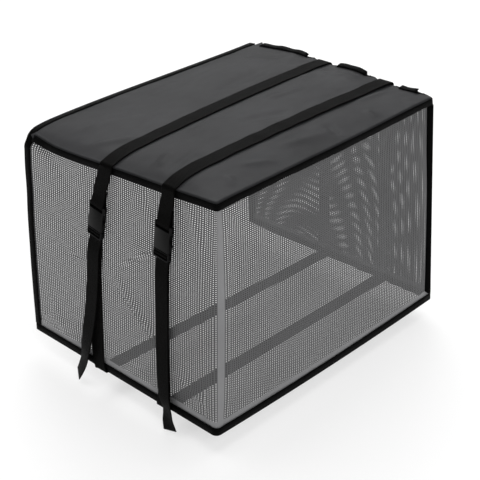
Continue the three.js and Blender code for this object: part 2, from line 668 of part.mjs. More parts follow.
function strapPath(strap) {
  const frame = buckleFrame(strap);
  const left = new THREE.Vector3(-1, 0, 0);
  const right = new THREE.Vector3(1, 0, 0);
  const across = frame.b.clone().negate();
  const sewn = sewnLoop.map((s) => ({ at: inBuckle(frame, s.q, s.n), across }));
  const leftSide = (depth, out) => {
    const y = strapRowY(strap, depth);
    const at = wallPoint({ x: -HALF_W, y, nx: 0, ny: 0 }, depth, 0);
    at.x -= out;
    return { at, out: left };
  };
  const rise = [20, 12].map((depth) => leftSide(depth, EDGE_OUT));
  const edgeCentre = (side, y) => {
    const x = side * (HALF_W - EDGE_TURN + EDGE_OUT);
    return { x: x + blendCorners(x, y, "topX"), z: strapRest(strap, x) - EDGE_TURN };
  };
  const overLeft = quarter(edgeCentre(-1, strap.topLeft), EDGE_TURN, 0, 1.35, strap.topLeft, -1);
  const innerX = panelColumns.slice(1, -1).map((f) => panelX(f, 0));
  const overTop = innerX.map((x) => {
    const y = strapTopY(strap, x);
    const lift = blendCorners(x, y, "topX");
    return { at: new THREE.Vector3(x + lift, y, strapRest(strap, x)), out: up };
  });
  const overRight = quarter(edgeCentre(1, strap.topRight), EDGE_TURN, 1.45, 0, strap.topRight, 1);
  const rightY = strap.topRight;
  const rightSide = [0.12, 0.35, 0.6, 0.85].map((k) => {
    const p = { x: HALF_W, y: rightY, nx: 0, ny: 0 };
    const at = wallPoint(p, k * (seamLevel(p) - hemLevel(p)), 0);
    at.x += lerp(EDGE_OUT, HEM_OUT, k);
    return { at, out: right };
  });
  const hemY = strapRowY(strap, HEIGHT);
  const hemCentre = (side, y) => {
    const p = { x: side * HALF_W, y, nx: 0, ny: 0 };
    const hem = wallPoint(p, seamLevel(p) - hemLevel(p), 0);
    const lowest = Math.min(...[-1, 1].map((to) => hemLevel({ ...p, y: y + (to * WEBBING_WIDTH) / 2 })));
    return { x: hem.x + side * (HEM_OUT - HEM_TURN), z: lowest - UNDER_RUN + HEM_TURN };
  };
  const underRight = quarter(hemCentre(1, rightY), HEM_TURN, 0, -Math.PI / 2, rightY, 1);
  const underLeft = quarter(hemCentre(-1, hemY), HEM_TURN, -Math.PI / 2, 0, hemY, -1);
  const under = [0.25, 0.5, 0.75].map((k) => ({
    at: new THREE.Vector3().lerpVectors(underRight[4].at, underLeft[0].at, k),
    out: up.clone().negate(),
  }));
  const climb = [0.93, 0.8, 0.65, 0.5].map((k) => leftSide(k * HEIGHT, lerp(1.2, HEM_OUT, k)));
  const slide = slider.map((s) => ({ at: inBuckle(frame, s.q, s.n), across }));
  const tail = strap.tail.map((t) => {
    const at = wallPoint({ x: -HALF_W, y: t.y, nx: 0, ny: 0 }, -t.z - CROWN, 0);
    at.set(at.x - t.out, t.y, t.z - CROWN);
    return { at, out: left, twist: t.twist };
  });
  return [
    ...sewn, ...rise, ...overLeft, ...overTop, ...overRight, ...rightSide,
    ...underRight, ...under, ...underLeft, ...climb, ...slide, ...tail,
  ];
}

// Gives each point of the path its direction across the webbing, kept level with the cover
function webbingStations(path) {
  const stations = [];
  let across = new THREE.Vector3(0, 1, 0);
  path.forEach((point, i) => {
    const before = path[Math.max(0, i - 1)].at;
    const after = path[Math.min(path.length - 1, i + 1)].at;
    const ahead = unit(before, after);
    const level = (point.across ?? new THREE.Vector3(0, 1, 0)).clone();
    level.addScaledVector(ahead, -level.dot(ahead)).normalize();
    across = across.clone().addScaledVector(ahead, -across.dot(ahead)).normalize();
    across.lerp(level, point.across ? 1 : 0.5).normalize();
    const turned = across.clone().applyAxisAngle(ahead, point.twist ?? 0);
    const out = new THREE.Vector3().crossVectors(turned, ahead).normalize();
    stations.push({ at: point.at, across: turned, up: out });
  });
  return stations;
}

function makeStrap(strap) {
  const w = WEBBING_WIDTH / 2;
  const h = WEBBING / 2;
  return sweep([[w, h], [-w, h], [-w, -h], [w, -h]], webbingStations(strapPath(strap)));
}

// Buckle halves, made flat in their own frame: x across, y down the belt, z out of the wall
function plate(outline, from, to, bevel) {
  const shape = new THREE.Shape(outline.map(([x, y]) => new THREE.Vector2(x, y)));
  const geometry = new THREE.ExtrudeGeometry(shape, {
    depth: to - from - 2 * bevel,
    bevelEnabled: bevel > 0,
    bevelThickness: bevel,
    bevelSize: bevel,
    bevelOffset: -bevel,
    bevelSegments: 1,
    curveSegments: 4,
  });
  return geometry.translate(0, 0, from + bevel);
}

function toManifold(geometry) {
  const bare = geometry.clone();
  for (const name of Object.keys(bare.attributes)) if (name !== "position") bare.deleteAttribute(name);
  const merged = mergeVertices(bare, 1e-4);
  const mesh = new wasm.Mesh({
    numProp: 3,
    vertProperties: new Float32Array(merged.attributes.position.array),
    triVerts: new Uint32Array(merged.index.array),
  });
  return new wasm.Manifold(mesh);
}

function fromManifold(manifold) {
  const mesh = manifold.getMesh();
  const geometry = new THREE.BufferGeometry();
  geometry.setAttribute("position", new THREE.BufferAttribute(new Float32Array(mesh.vertProperties), 3));
  geometry.setIndex([...mesh.triVerts]);
  geometry.computeVertexNormals();
  return geometry;
}

const rectangle = (x0, x1, y0, y1) => [[x0, y0], [x1, y0], [x1, y1], [x0, y1]];
const cutter = (x0, x1, y0, y1, z0, z1) => toManifold(plate(rectangle(x0, x1, y0, y1), z0, z1, 0));

const HALF = BUCKLE.width / 2;
const EAR = BUCKLE.ears / 2;
const SLOT = WEBBING_WIDTH / 2 + 0.6;
const cavity = { from: 18, low: 2.1, high: 6.9, half: 13.2 };
const windows = { from: 21, to: 38.6 };
const crown = { side: 5, low: 2.4, high: 6.6 };

// Thins a buckle half towards both sides, as moulded buckles are
function crowned(body) {
  const profile = [
    [-EAR, crown.low], [crown.side - EAR, 0], [EAR - crown.side, 0], [EAR, crown.low],
    [EAR, crown.high], [EAR - crown.side, BUCKLE.thickness], [crown.side - EAR, BUCKLE.thickness],
    [-EAR, crown.high],
  ];
  const section = plate(profile, -BUCKLE.length - 1, 1, 0).rotateX(Math.PI / 2);
  return body.intersect(toManifold(section));
}

function makeFemale() {
  const outline = [
    [-EAR + 1.5, 0], [EAR - 1.5, 0], [EAR, 1.5], [EAR, 9.5], [HALF - 1, 12], [HALF - 1.6, 20],
    [HALF, 38], [HALF, 41.5], [HALF - 1.5, BUCKLE.bodyEnd], [-HALF + 1.5, BUCKLE.bodyEnd],
    [-HALF, 41.5], [-HALF, 38], [-HALF + 1.6, 20], [-HALF + 1, 12], [-EAR, 9.5], [-EAR, 1.5],
  ];
  let body = toManifold(plate(outline, 0, BUCKLE.thickness, 1));
  const past = 1;
  const cuts = [
    cutter(-SLOT, SLOT, 4.5, 9, -past, BUCKLE.thickness + past),
    cutter(-SLOT, SLOT, -past, 1.5, -past, BUCKLE.thickness + past),
    cutter(-SLOT, SLOT, 1, 5, 5.7, BUCKLE.thickness + past),
    cutter(-SLOT, SLOT, 1, 5, -past, 3.1),
    cutter(-cavity.half, cavity.half, cavity.from, BUCKLE.bodyEnd + past, cavity.low, cavity.high),
    cutter(-HALF - past, HALF + past, windows.from, windows.to, cavity.low, cavity.high),
  ];
  for (const cut of cuts) body = body.subtract(cut);
  return fromManifold(crowned(body));
}

function makeMale() {
  const end = BUCKLE.length;
  const start = BUCKLE.maleStart;
  const outline = [
    [-HALF + 1.5, start], [HALF - 1.5, start], [HALF, start + 1.5], [HALF - 0.8, end - 2], [HALF - 3, end],
    [-HALF + 3, end], [-HALF + 0.8, end - 2], [-HALF, start + 1.5],
  ];
  let block = toManifold(plate(outline, 0, BUCKLE.thickness, 0.8));
  const past = 1;
  const cuts = [
    cutter(-SLOT, SLOT, 45, 48.2, -past, BUCKLE.thickness + past),
    cutter(-SLOT, SLOT, 50.8, 54.2, -past, BUCKLE.thickness + past),
    cutter(-SLOT, SLOT, 47.5, 51.5, 6.3, BUCKLE.thickness + past),
    cutter(-SLOT, SLOT, 44.6, end + past, -past, 2.15),
    cutter(-SLOT, SLOT, 47.5, 51.5, -past, 3.7),
    cutter(-SLOT, SLOT, 53.5, end + past, -past, 4.6),
  ];
  for (const cut of cuts) block = block.subtract(cut);
  block = crowned(block);
  const [low, high] = [cavity.low + 0.4, cavity.high - 0.4];
  const prong = (side) => [
    [side * 8.2, start + 1], [side * 12.4, start + 1], [side * 12.5, 38.2], [side * (HALF + 0.6), 37.2],
    [side * (HALF + 1), 30], [side * 13.9, 24], [side * 11.2, 19.2], [side * 9.1, 19.2], [side * 9.6, 30],
  ];
  for (const side of [-1, 1]) {
    const points = side > 0 ? prong(side) : prong(side).reverse();
    block = block.add(toManifold(plate(points, low, high, 0)));
  }
  block = block.add(cutter(-2, 2, 24, start + 1, low, high));
  return fromManifold(block);
}

// Puts a flat buckle half onto its place on the left wall
function ontoWall(geometry, strap) {
  const frame = buckleFrame(strap);
  const matrix = new THREE.Matrix4().makeBasis(frame.b.clone().negate(), frame.q, frame.n);
  if (matrix.determinant() < 0) matrix.makeBasis(frame.b, frame.q, frame.n);
  return geometry.applyMatrix4(matrix.setPosition(frame.at));
}

const cover = new THREE.Group();
function addPart(name, geometry, finish) {
  const material = new THREE.MeshStandardMaterial({ ...clothColours[finish], metalness: 0 });
  const mesh = new THREE.Mesh(geometry, material);
  mesh.name = name;
  cover.add(mesh);
}

addPart("top_panel", makeTopPanel(), "panel");
addPart("net_left_front", makeLeftFrontNet(), "net");
addPart("net_right", makeRightNet(), "net");
addPart("seam_tape_top", makeSeamTape(), "tape");
addPart("seam_tape_corner", makeCornerTape(), "tape");
addPart("hem_tape", makeHemTape(), "tape");
addPart("edge_tape_back", makeBackTape(), "tape");
for (const strap of straps) {
  addPart(`strap_${strap.name}`, makeStrap(strap), "webbing");
  addPart(`buckle_${strap.name}_female`, ontoWall(makeFemale(), strap), "buckle");
  addPart(`buckle_${strap.name}_male`, ontoWall(makeMale(), strap), "buckle");
}

export default cover;
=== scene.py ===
# %% [markdown]
# # An air conditioner cover
# The cover is a box of cloth that is open at the back and at the bottom. Its top is a dark coated
# cloth, its walls are a grey coated net, and black tape binds every edge. Two belts of webbing go
# right round it and close with side-release buckles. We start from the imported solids, which give
# the frame and the sizes, and we dress them piece by piece in metres.

# %% Load the frame
import math

import bmesh
import bpy
from mathutils import Matrix, Vector, noise


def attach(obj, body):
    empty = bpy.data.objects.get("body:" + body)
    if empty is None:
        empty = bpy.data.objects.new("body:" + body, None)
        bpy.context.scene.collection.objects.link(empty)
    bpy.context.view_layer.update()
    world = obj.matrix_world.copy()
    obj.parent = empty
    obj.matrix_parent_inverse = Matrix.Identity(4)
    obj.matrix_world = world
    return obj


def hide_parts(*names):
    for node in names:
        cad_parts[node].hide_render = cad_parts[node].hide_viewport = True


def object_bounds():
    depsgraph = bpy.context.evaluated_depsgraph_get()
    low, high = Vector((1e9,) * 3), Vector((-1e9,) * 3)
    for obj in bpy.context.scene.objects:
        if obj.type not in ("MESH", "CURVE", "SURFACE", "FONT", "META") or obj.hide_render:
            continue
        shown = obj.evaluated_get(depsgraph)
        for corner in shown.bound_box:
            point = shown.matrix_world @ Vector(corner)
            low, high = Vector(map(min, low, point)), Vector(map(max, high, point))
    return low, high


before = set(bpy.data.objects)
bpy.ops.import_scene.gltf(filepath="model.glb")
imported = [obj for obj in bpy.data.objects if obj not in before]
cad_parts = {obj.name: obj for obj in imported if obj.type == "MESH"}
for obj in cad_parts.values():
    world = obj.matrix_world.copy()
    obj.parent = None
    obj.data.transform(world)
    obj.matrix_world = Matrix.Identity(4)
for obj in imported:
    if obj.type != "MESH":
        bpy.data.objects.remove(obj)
cad_low, cad_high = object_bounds()
MM = 0.001
print("solids span", [round(v, 4) for v in cad_low], [round(v, 4) for v in cad_high])

# %% [markdown]
# ## Camera
# A camera can be placed by eye, but a box shows every degree of error. Here its place and its lens
# come from the cover's seven visible corners, matched by least squares, so that the solids fall on
# the outline of the photographed cover. Setting the camera first lets us judge every piece as seen.

# %% Place the camera
TURN, RISE, ROLL = math.radians(-47.106), math.radians(28.601), math.radians(-0.364)
CAMERA_PLACE, LENS, SENSOR_WIDTH = (-1.2869, -1.2040, 0.7257), 91.35, 36.0
camera = bpy.data.objects.new("camera", bpy.data.cameras.new("camera"))
bpy.context.scene.collection.objects.link(camera)
camera.data.lens, camera.data.sensor_width = LENS, SENSOR_WIDTH
camera.data.clip_start, camera.data.clip_end = 0.05, 60.0
back = Vector((math.sin(TURN) * math.cos(RISE), -math.cos(TURN) * math.cos(RISE), math.sin(RISE)))
level = Vector((math.cos(TURN), math.sin(TURN), 0))
upward = back.cross(level)
rolled = level * math.cos(ROLL) + upward * math.sin(ROLL)
rolled_up = upward * math.cos(ROLL) - level * math.sin(ROLL)
stance = Matrix((rolled, rolled_up, back)).transposed().to_4x4()
stance.translation = Vector(CAMERA_PLACE)
camera.matrix_world = stance
bpy.context.scene.camera = camera
print("camera", [round(v, 3) for v in camera.location])

# %% [markdown]
# ## Floor and light
# A pale floor lies just under the hanging belt ends, in a white studio. Panels with an area light
# each would do, but three wide suns are plainer: their angle alone says how soft the shadows are.
# The strongest comes from above. One from behind gives the dark top its greyish sheen, and one from
# the front left brightens the net walls. The world adds an even rest. The floor glows a little, as
# a lit table of milky glass would, so that shadows stay faint.

# %% Lay the floor
def plain_material(name, colour, roughness):
    material = bpy.data.materials.new(name)
    material.use_nodes = True
    shader = material.node_tree.nodes["Principled BSDF"]
    shader.inputs["Base Color"].default_value = (*colour, 1)
    shader.inputs["Roughness"].default_value = roughness
    return material


FLOOR_REACH, FLOOR_DROP = 14.0, 0.0015
FLOOR_GREY, FLOOR_GLOW, WORLD_LIGHT = 0.42, 0.58, 0.36
floor_z = cad_low.z - FLOOR_DROP
floor_mesh = bpy.data.meshes.new("studio_floor")
floor_mesh.from_pydata([(x * FLOOR_REACH, y * FLOOR_REACH, floor_z)
                        for x, y in ((-1, -1), (1, -1), (1, 1), (-1, 1))], [], [(0, 1, 2, 3)])
floor = bpy.data.objects.new("studio_floor", floor_mesh)
bpy.context.scene.collection.objects.link(floor)
floor_finish = plain_material("pale floor", (FLOOR_GREY, FLOOR_GREY, FLOOR_GREY), 0.95)
floor_shader = floor_finish.node_tree.nodes["Principled BSDF"]
floor_shader.inputs["Emission Color"].default_value = (1, 1, 1, 1)
floor_shader.inputs["Emission Strength"].default_value = FLOOR_GLOW
floor_shader.inputs["Specular IOR Level"].default_value = 0
floor_mesh.materials.append(floor_finish)
print("floor lies at", round(floor_z, 4))

# %% Hang the lights
world = bpy.data.worlds.new("studio")
bpy.context.scene.world = world
world.use_nodes = True
world.node_tree.nodes["Background"].inputs["Color"].default_value = (1, 1, 1, 1)
world.node_tree.nodes["Background"].inputs["Strength"].default_value = WORLD_LIGHT
bpy.context.scene.view_settings.view_transform = "Standard"


def wide_light(name, energy, angle, heading):
    lamp = bpy.data.lights.new(name, "SUN")
    lamp.energy, lamp.angle = energy, math.radians(angle)
    light = bpy.data.objects.new(name, lamp)
    bpy.context.scene.collection.objects.link(light)
    light.rotation_euler = Vector(heading).to_track_quat("-Z", "Y").to_euler()
    print(name, energy, "W/m2")


wide_light("light_from_above", 2.0, 70, (-0.28, -0.28, -1))
wide_light("light_from_behind", 0.7, 30, (-0.68, -0.73, -0.65))
wide_light("light_along_walls", 0.75, 25, (0.36, 0.85, -0.85))

# %% [markdown]
# ## The cover's own measures
# Everything below repeats the named sizes of the solids, in millimetres, so that each new piece
# lies on its solid. We could read points back from the solids instead, but then no value would say
# what it is for. First come the sizes and four small helpers: a blend, a soft step, an even
# spread and a smooth curve through the rows of a table.

# %% Named sizes and small maths
WIDTH, DEPTH, HEIGHT, CROWN = 510, 398, 370, 8.4
PANEL, NET, TAPE, BOUND, GAP = 1.5, 1.2, 1, 12, 0.3
HALF_W, HALF_D = WIDTH / 2, DEPTH / 2
SEAM_INSET, LIP_RADIUS, RIM_RADIUS, CORNER_RADIUS = 1.3, 2.5, 2.2, 9
NET_TOP_INSET, TAPED_END, HEM_SAG = 4.8, 13.3, 4.5
WEBBING_WIDTH, WEBBING = 26, 1.6
SAG_FROM, SAG_FULL = 160, 185
LAST_FROM, LAST_FULL = 187, 196


def lerp(a, b, k):
    return a + (b - a) * k


def ease(low, high, q):
    """A soft step from 0 at low to 1 at high."""
    k = min(1.0, max(0.0, (q - low) / (high - low)))
    return k * k * (3 - 2 * k)


def spread(low, high, steps):
    return [lerp(low, high, i / steps) for i in range(steps + 1)]


def through(knots, values, q):
    """The height at q of a smooth curve through a table's values."""
    last, i = len(knots) - 1, 0
    while i < last - 1 and (knots[i + 1] - q) * (knots[1] - knots[0]) < 0:
        i += 1

    def slope(j):
        a, b = max(0, j - 1), min(last, j + 1)
        return (values[b] - values[a]) / (knots[b] - knots[a])

    span = knots[i + 1] - knots[i]
    k = min(1.0, max(0.0, (q - knots[i]) / span))
    k2, k3 = k * k, k * k * k
    return ((2 * k3 - 3 * k2 + 1) * values[i] + (k3 - 2 * k2 + k) * span * slope(i)
            + (3 * k2 - 2 * k3) * values[i + 1] + (k3 - k2) * span * slope(i + 1))


# %% [markdown]
# ## Tables of the hanging cloth
# The cover was sewn as a box, but it hangs softly. One table says how far each corner is pulled
# from the box, and one how high the top stands above its seams. A belt has a table for its row on
# the left wall at each depth, and one for its hanging end: height, row, distance out and twist.

# %% Corners, top heights and belts
CORNERS = [  # u, v, top x, top y, hem x, hem y, hem z
    (-1, -1, 2.5, -1.8, -13.9, -9.9, -0.7),
    (1, -1, -0.8, 3.3, 10.9, -13.8, -4),
    (1, 1, 1.5, -1.5, 11.5, 11.5, 0),
    (-1, 1, -2, 0, -8.3, 11.7, 3.3),
]
TOP_X, TOP_Y, HEM_X, HEM_Y, HEM_Z = 2, 3, 4, 5, 6
COLUMN_X = (-255, -232, -190, -80, 60, 190, 255)
HEIGHTS = [  # row y, then the height over the seam plane at each column
    (199, (-14, -6.5, -3, -1, -1, -1, 0)),
    (150, (-12, -4, 1, 4, 5, 5, 4)),
    (90, (-11, -3, 3, 8, 9.5, 9, 9.5)),
    (20, (-7, -0.5, 3.5, 7, 9, 8, 5.5)),
    (-45, (-4, 3, 8, 11, 11.5, 10, 9.5)),
    (-110, (-1.5, 6.5, 10.5, 10.5, 9, 4.5, 2.5)),
    (-160, (2, 6.5, 8.5, 8, 7, 5, 3)),
    (-199, (4.5, 5, 4.5, 3.5, 2, 3.5, 3)),
]
BELTS = {
    "rear": {
        "top": (14, 28), "buckle": 65,
        "rows": ((0, 25, 65, 122, 200, 300, 370), (14, 21.5, 32, 41.7, 46.5, 48, 46)),
        "tail": [(-156, 47, 5.2, 0), (-205, 51, 5.6, 0), (-262, 58.5, 6.2, 0.03),
                 (-305, 67, 7.2, 0.06), (-338, 74, 8, 0.2), (-362, 78.5, 8.5, 0.38),
                 (-379, 84.5, 10.5, 0.45), (-392, 90.5, 12, 0.55)],
    },
    "front": {
        "top": (-113, -102), "buckle": 55,
        "rows": ((0, 25, 55, 112, 200, 300, 370), (-113, -109.5, -104.3, -98.3, -94.7, -95, -97)),
        "tail": [(-148, -100, 5.2, 0), (-205, -100.3, 5.4, 0), (-262, -100.3, 5.6, 0),
                 (-315, -102, 6.2, 0.03), (-345, -106, 7.5, 0.12), (-362, -113, 8.8, 0.32),
                 (-375, -114.5, 8.8, 0.24), (-387, -115, 8, 0.05), (-400, -117.5, 7, -0.1)],
    },
}
known_heights = {}


def shift(x, y, key):
    """How far the pulled corners move a place of the box, blended between the four."""
    return sum(c[key] * (1 + c[0] * x / HALF_W) * (1 + c[1] * y / HALF_D) / 4 for c in CORNERS)


def panel_height(x, y):
    """The top's height, from the table of heights; the mount point is at 0."""
    key = (round(x, 3), round(y, 3))
    if key not in known_heights:
        along = [through(COLUMN_X, row, x) for _, row in HEIGHTS]
        known_heights[key] = through([y0 for y0, _ in HEIGHTS], along, y) - CROWN
    return known_heights[key]


def shoulder_inset(y):
    return 8 * ease(125, HALF_D, y)


def hem_level(x, y):
    front = -y / HALF_D if y < 0 else 0
    return -HEIGHT - CROWN + shift(x, y, HEM_Z) - HEM_SAG * (1 - (x / HALF_W) ** 2) * front


def belt_row(belt, depth):
    return through(*belt["rows"], depth)


print("top stands", round(panel_height(0, 0), 1), "mm over the mount point")

# %% [markdown]
# ## How the walls hang
# A wall is a sheet pulled between its seam and its hem. A cloth simulation could drape it, but it
# would not give these very folds. So each fold is a line with a width and a rise. The solids have
# the broad ones; here they get the sharper creases that packing has left in the net: a long
# diagonal one under the belts, one rising to the front buckle, and upright ones beside the front
# left corner.

# %% Folds and creases of the net
LEFT_FOLDS = [  # y0, z0, y1, z1, width, rise
    (5, -188, -85, -269, 11, 2.6), (-85, -269, -180, -332, 12, 2.2), (-35, -136, -90, -92, 13, 2),
    (-30, -30, -75, -95, 16, 2), (-150, -45, -178, -300, 14, 1.6),
]
FRONT_FOLDS = [
    (-238, -30, -232, -345, 10, 2), (-150, -30, -60, -150, 26, 1.6), (226, -40, 214, -330, 14, 1.8),
]
LEFT_CREASES = [
    (0, -206, -79, -270, 2.6, -2.2), (-9, -201, -85, -265, 4.5, 1.8),
    (-120, -303, -172, -331, 2.4, -1.8), (-116, -296, -168, -324, 4.5, 1.2),
    (-6, -161, -79, -108, 3, 1.8), (-6, -168, -79, -115, 4.5, -1.4),
    (-172.7, -300, -172.8, -366, 2.2, -2.6), (-177, -300, -177, -366, 3, 1.1),
    (-172.7, -190, -172.8, -320, 2.6, -1.1), (-172.5, -14, -172.7, -70, 2.4, -1.8),
    (-194, -40, -194.5, -362, 2.6, -1.6), (-189, -60, -189, -362, 3, 1.0),
    (-183, -120, -184, -362, 4, 0.9), (-160, -180, -161, -350, 6, 0.8), (-150, -230, -151, -350, 4, -0.7),
    (104, -187, 68, -184, 2.6, -1.8), (104, -181, 68, -178, 4, 1.3),
    (19, -330, -67, -330, 3.6, -1.1), (19, -324, -67, -323, 5, 0.9),
    (179, -326, 104, -321, 12, 3.0), (150, -300, 120, -355, 10, 1.8), (100, -340, 85, -300, 9, -1.4),
    (165, -20, 120, -60, 8, -1.4), (-140, -20, -165, -80, 7, 1.5), (-60, -18, -64, -52, 5, -1.3),
    (-20, -60, -60, -20, 6, 1.4), (60, -20, 95, -70, 8, 1.3),
]
FRONT_CREASES = [
    (-243.5, -30, -242.5, -362, 2.4, 1.5), (-237, -30, -236.5, -360, 2.6, -1.3),
    (-231, -30, -230, -345, 2.6, 0.8), (-226, -18, -205, -46, 5, 1.3), (60, -20, 100, -48, 8, -1.2),
    (215, -18, 190, -60, 7, 1.2), (-120, -352, -60, -366, 7, -1.1), (60, -362, 150, -350, 8, 1.1),
    (200, -330, 236, -366, 8, 1.3), (-40, -18, -20, -50, 6, 1.0), (150, -18, 130, -44, 6, -1.0),
]


def fold_rise(folds, a, z):
    """How far all the folds together lift the cloth at one place."""
    total = 0.0
    for a0, z0, a1, z1, width, rise in folds:
        da, dz = a1 - a0, z1 - z0
        length = math.hypot(da, dz)
        k = ((a - a0) * da + (z - z0) * dz) / length ** 2
        if -0.25 < k < 1.25:
            off = ((a - a0) * dz - (z - z0) * da) / length
            if abs(off) < 4 * width:
                fade = ease(-0.25, 0.2, k) * (1 - ease(0.8, 1.25, k))
                total += rise * fade * math.exp(-((off / width) ** 2))
    return total


def wall_belly(x, y, nx, z, seam, hem):
    """How far a wall stands out: a soft belly and folds, and creases that reach nearer the tapes."""
    depth = seam - z
    clear = ease(16, 50, depth) * (1 - ease(-60, -14, hem - z))
    middle = math.sin(math.pi * min(1, max(0, depth / HEIGHT)))
    near = ease(12, 22, depth) * (1 - ease(-20, -12, hem - z))
    if nx < -0.9:
        free = 1.0
        for belt in BELTS.values():
            free *= 1 - 0.9 * math.exp(-(((y - belt_row(belt, depth)) / 26) ** 4))
        soft = fold_rise(LEFT_FOLDS, y, z + CROWN) + 0.8 * middle
        return free * (clear * soft + near * fold_rise(LEFT_CREASES, y, z + CROWN))
    if nx > 0.9:
        return clear * middle + near * 0.5 * noise.noise(Vector((3.1, y / 34, z / 50)))
    if nx < 0:
        return clear * 0.5
    return clear * (fold_rise(FRONT_FOLDS, x, z + CROWN) + 1.2 * middle) + near * fold_rise(
        FRONT_CREASES, x, z + CROWN)


# %% One upright line of a wall
def rear_swell(y, nx, depth):
    """The left wall swells near its rear edge; right at the edge the swell begins higher up."""
    if nx > -0.9:
        return 0
    slack = (1 - 0.4 * ease(38, 108, depth)) * (1 - 0.45 * ease(108, 198, depth))
    begins = lerp(ease(13, 24, depth), ease(6.5, 17, depth), ease(SAG_FROM, SAG_FULL, y))
    begins = lerp(begins, ease(0, 17, depth), ease(LAST_FROM, LAST_FULL, y))
    return (6 + 1.2 * ease(160, 190, y)) * ease(110, 190, y) * begins * slack * (1 - ease(198, 370, depth))


class WallLine:
    """One upright line of a wall: knows its seam, its hem and how it leans."""

    def __init__(self, x, y, nx, ny, free=True):
        self.x, self.y, self.nx, self.ny, self.free = x, y, nx, ny, free
        self.seam, self.hem = panel_height(x, y), hem_level(x, y)
        self.top = (shift(x, y, TOP_X), shift(x, y, TOP_Y))
        self.low = (shift(x, y, HEM_X), shift(x, y, HEM_Y))
        self.tall = self.seam - self.hem

    def at(self, depth, out):
        """The point at a depth below the seam, moved outwards from the wall's line."""
        k, z = depth / self.tall, self.seam - depth
        opened = 0.35 * ease(0, 14, depth) + 0.65 * ease(13, 28, depth)
        opened = lerp(opened, ease(-6, 7, depth), ease(SAG_FROM, SAG_FULL, self.y))
        opened = lerp(opened, 1, ease(LAST_FROM, LAST_FULL, self.y))
        shoulder = shoulder_inset(self.y) * (1 - opened) if self.nx < -0.9 else 0
        belly = wall_belly(self.x, self.y, self.nx, z, self.seam, self.hem) if self.free else 0
        reach = out + belly + rear_swell(self.y, self.nx, depth) - shoulder
        return Vector((self.x + lerp(self.top[0], self.low[0], k) + self.nx * reach,
                       self.y + lerp(self.top[1], self.low[1], k) + self.ny * reach, z))


def net_out(y, depth):
    """The net's outer face against the wall's line; it is furthest in at the top seam."""
    return -lerp(NET_TOP_INSET + 1.4 * ease(160, 180, y), SEAM_INSET, ease(0, 190, depth))


print("walls have", len(LEFT_CREASES) + len(FRONT_CREASES), "creases")

# %% [markdown]
# ## From points to cloth
# A sheet is a grid of points, and a tape or a belt is a closed outline swept along its edge. Each
# point carries its place on the flat cut, in metres, as a UV map named "cut": weave and holes are
# then the same size all over, however the cloth bends. Blender could unwrap the mesh for us, but it
# would stretch the weave where the cloth turns.

# %% Make a mesh from a grid or a swept strip
def link_piece(name, points, faces, cuts, material, replaced=()):
    """Make a mesh object in metres, with its flat cut, hang it on the root body and hide the solids it
    replaces.
    """
    mesh = bpy.data.meshes.new(name)
    mesh.from_pydata([p * MM for p in points], [], faces)
    layer = mesh.uv_layers.new(name="cut")
    for loop in mesh.loops:
        u, v = cuts[loop.vertex_index]
        layer.data[loop.index].uv = (u * MM, v * MM)
    mesh.polygons.foreach_set("use_smooth", [True] * len(mesh.polygons))
    piece = bpy.data.objects.new(name, mesh)
    bpy.context.scene.collection.objects.link(piece)
    mesh.materials.append(material)
    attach(piece, "root")
    if replaced:
        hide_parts(*replaced)
    print(name, len(points), "points,", len(faces), "faces")
    return piece


def grid_faces(columns, rows):
    return [(i * rows + j, i * rows + j + 1, (i + 1) * rows + j + 1, (i + 1) * rows + j)
            for i in range(columns - 1) for j in range(rows - 1)]


def strip_solid(outline, stations):
    """Sweep a closed outline; returns points, faces and their places on the cut."""
    count, run, reach = len(outline), 0.0, [0.0]
    for k in range(1, count):
        reach.append(reach[-1] + math.dist(outline[k - 1], outline[k]))
    points, cuts = [], []
    for s, (at, across, up) in enumerate(stations):
        run += (at - stations[s - 1][0]).length if s else 0
        for (a, b), r in zip(outline, reach):
            points.append(at + across * a + up * b)
            cuts.append((r, run))
    faces = []
    for i in range(len(stations) - 1):
        for j in range(count):
            a, b = i * count + j, i * count + (j + 1) % count
            faces.append((a, a + count, b + count, b))
    end = (len(stations) - 1) * count
    faces.append(tuple(range(count)))
    faces.append(tuple(end + j for j in reversed(range(count))))
    return points, faces, cuts


def fix_normals(piece):
    shape = bmesh.new()
    shape.from_mesh(piece.data)
    bmesh.ops.recalc_face_normals(shape, faces=shape.faces)
    shape.to_mesh(piece.data)
    shape.free()


print("grid, strip and normals helpers ready")

# %% [markdown]
# ## Stitches
# Every tape is sewn through with a running stitch of black thread. A bump could hint at it, but the
# stitches catch the light at the edges, so each one is a small raised stroke of thread.

# %% Sew a row of stitches
def stitch_row(seam, pitch=3.4, length=2.5, wide=0.55, high=0.32):
    """Stitches along a seam given as (point, outward normal) pairs; returns points and faces."""
    points, faces, walked, k = [], [], 0.6, 1
    total = 0.0
    while k < len(seam):
        (a, out_a), (b, out_b) = seam[k - 1], seam[k]
        span = (b - a).length
        if span < 1e-6 or walked > total + span:
            total += span
            k += 1
            continue
        t = (walked - total) / span
        at, out, ahead = a.lerp(b, t), out_a.lerp(out_b, t).normalized(), (b - a).normalized()
        side, first = out.cross(ahead).normalized(), len(points)
        for along, lift, half in ((0, 0, 0.3), (0.25, 1, 1), (0.75, 1, 1), (1, 0, 0.3)):
            middle = at + ahead * (along * length)
            points += [middle + side * wide / 2 * half, middle + out * (0.05 + high * lift),
                       middle - side * wide / 2 * half]
        for ring in range(3):
            q = first + ring * 3
            faces += [(q, q + 3, q + 4, q + 1), (q + 1, q + 4, q + 5, q + 2)]
        walked += pitch
    return points, faces


def sew(name, seams):
    points, faces = [], []
    for seam in seams:
        more, quads = stitch_row(seam)
        faces += [tuple(v + len(points) for v in quad) for quad in quads]
        points += more
    return link_piece(name, points, faces, [(p.x, p.z) for p in points], thread)


print("stitches ready")

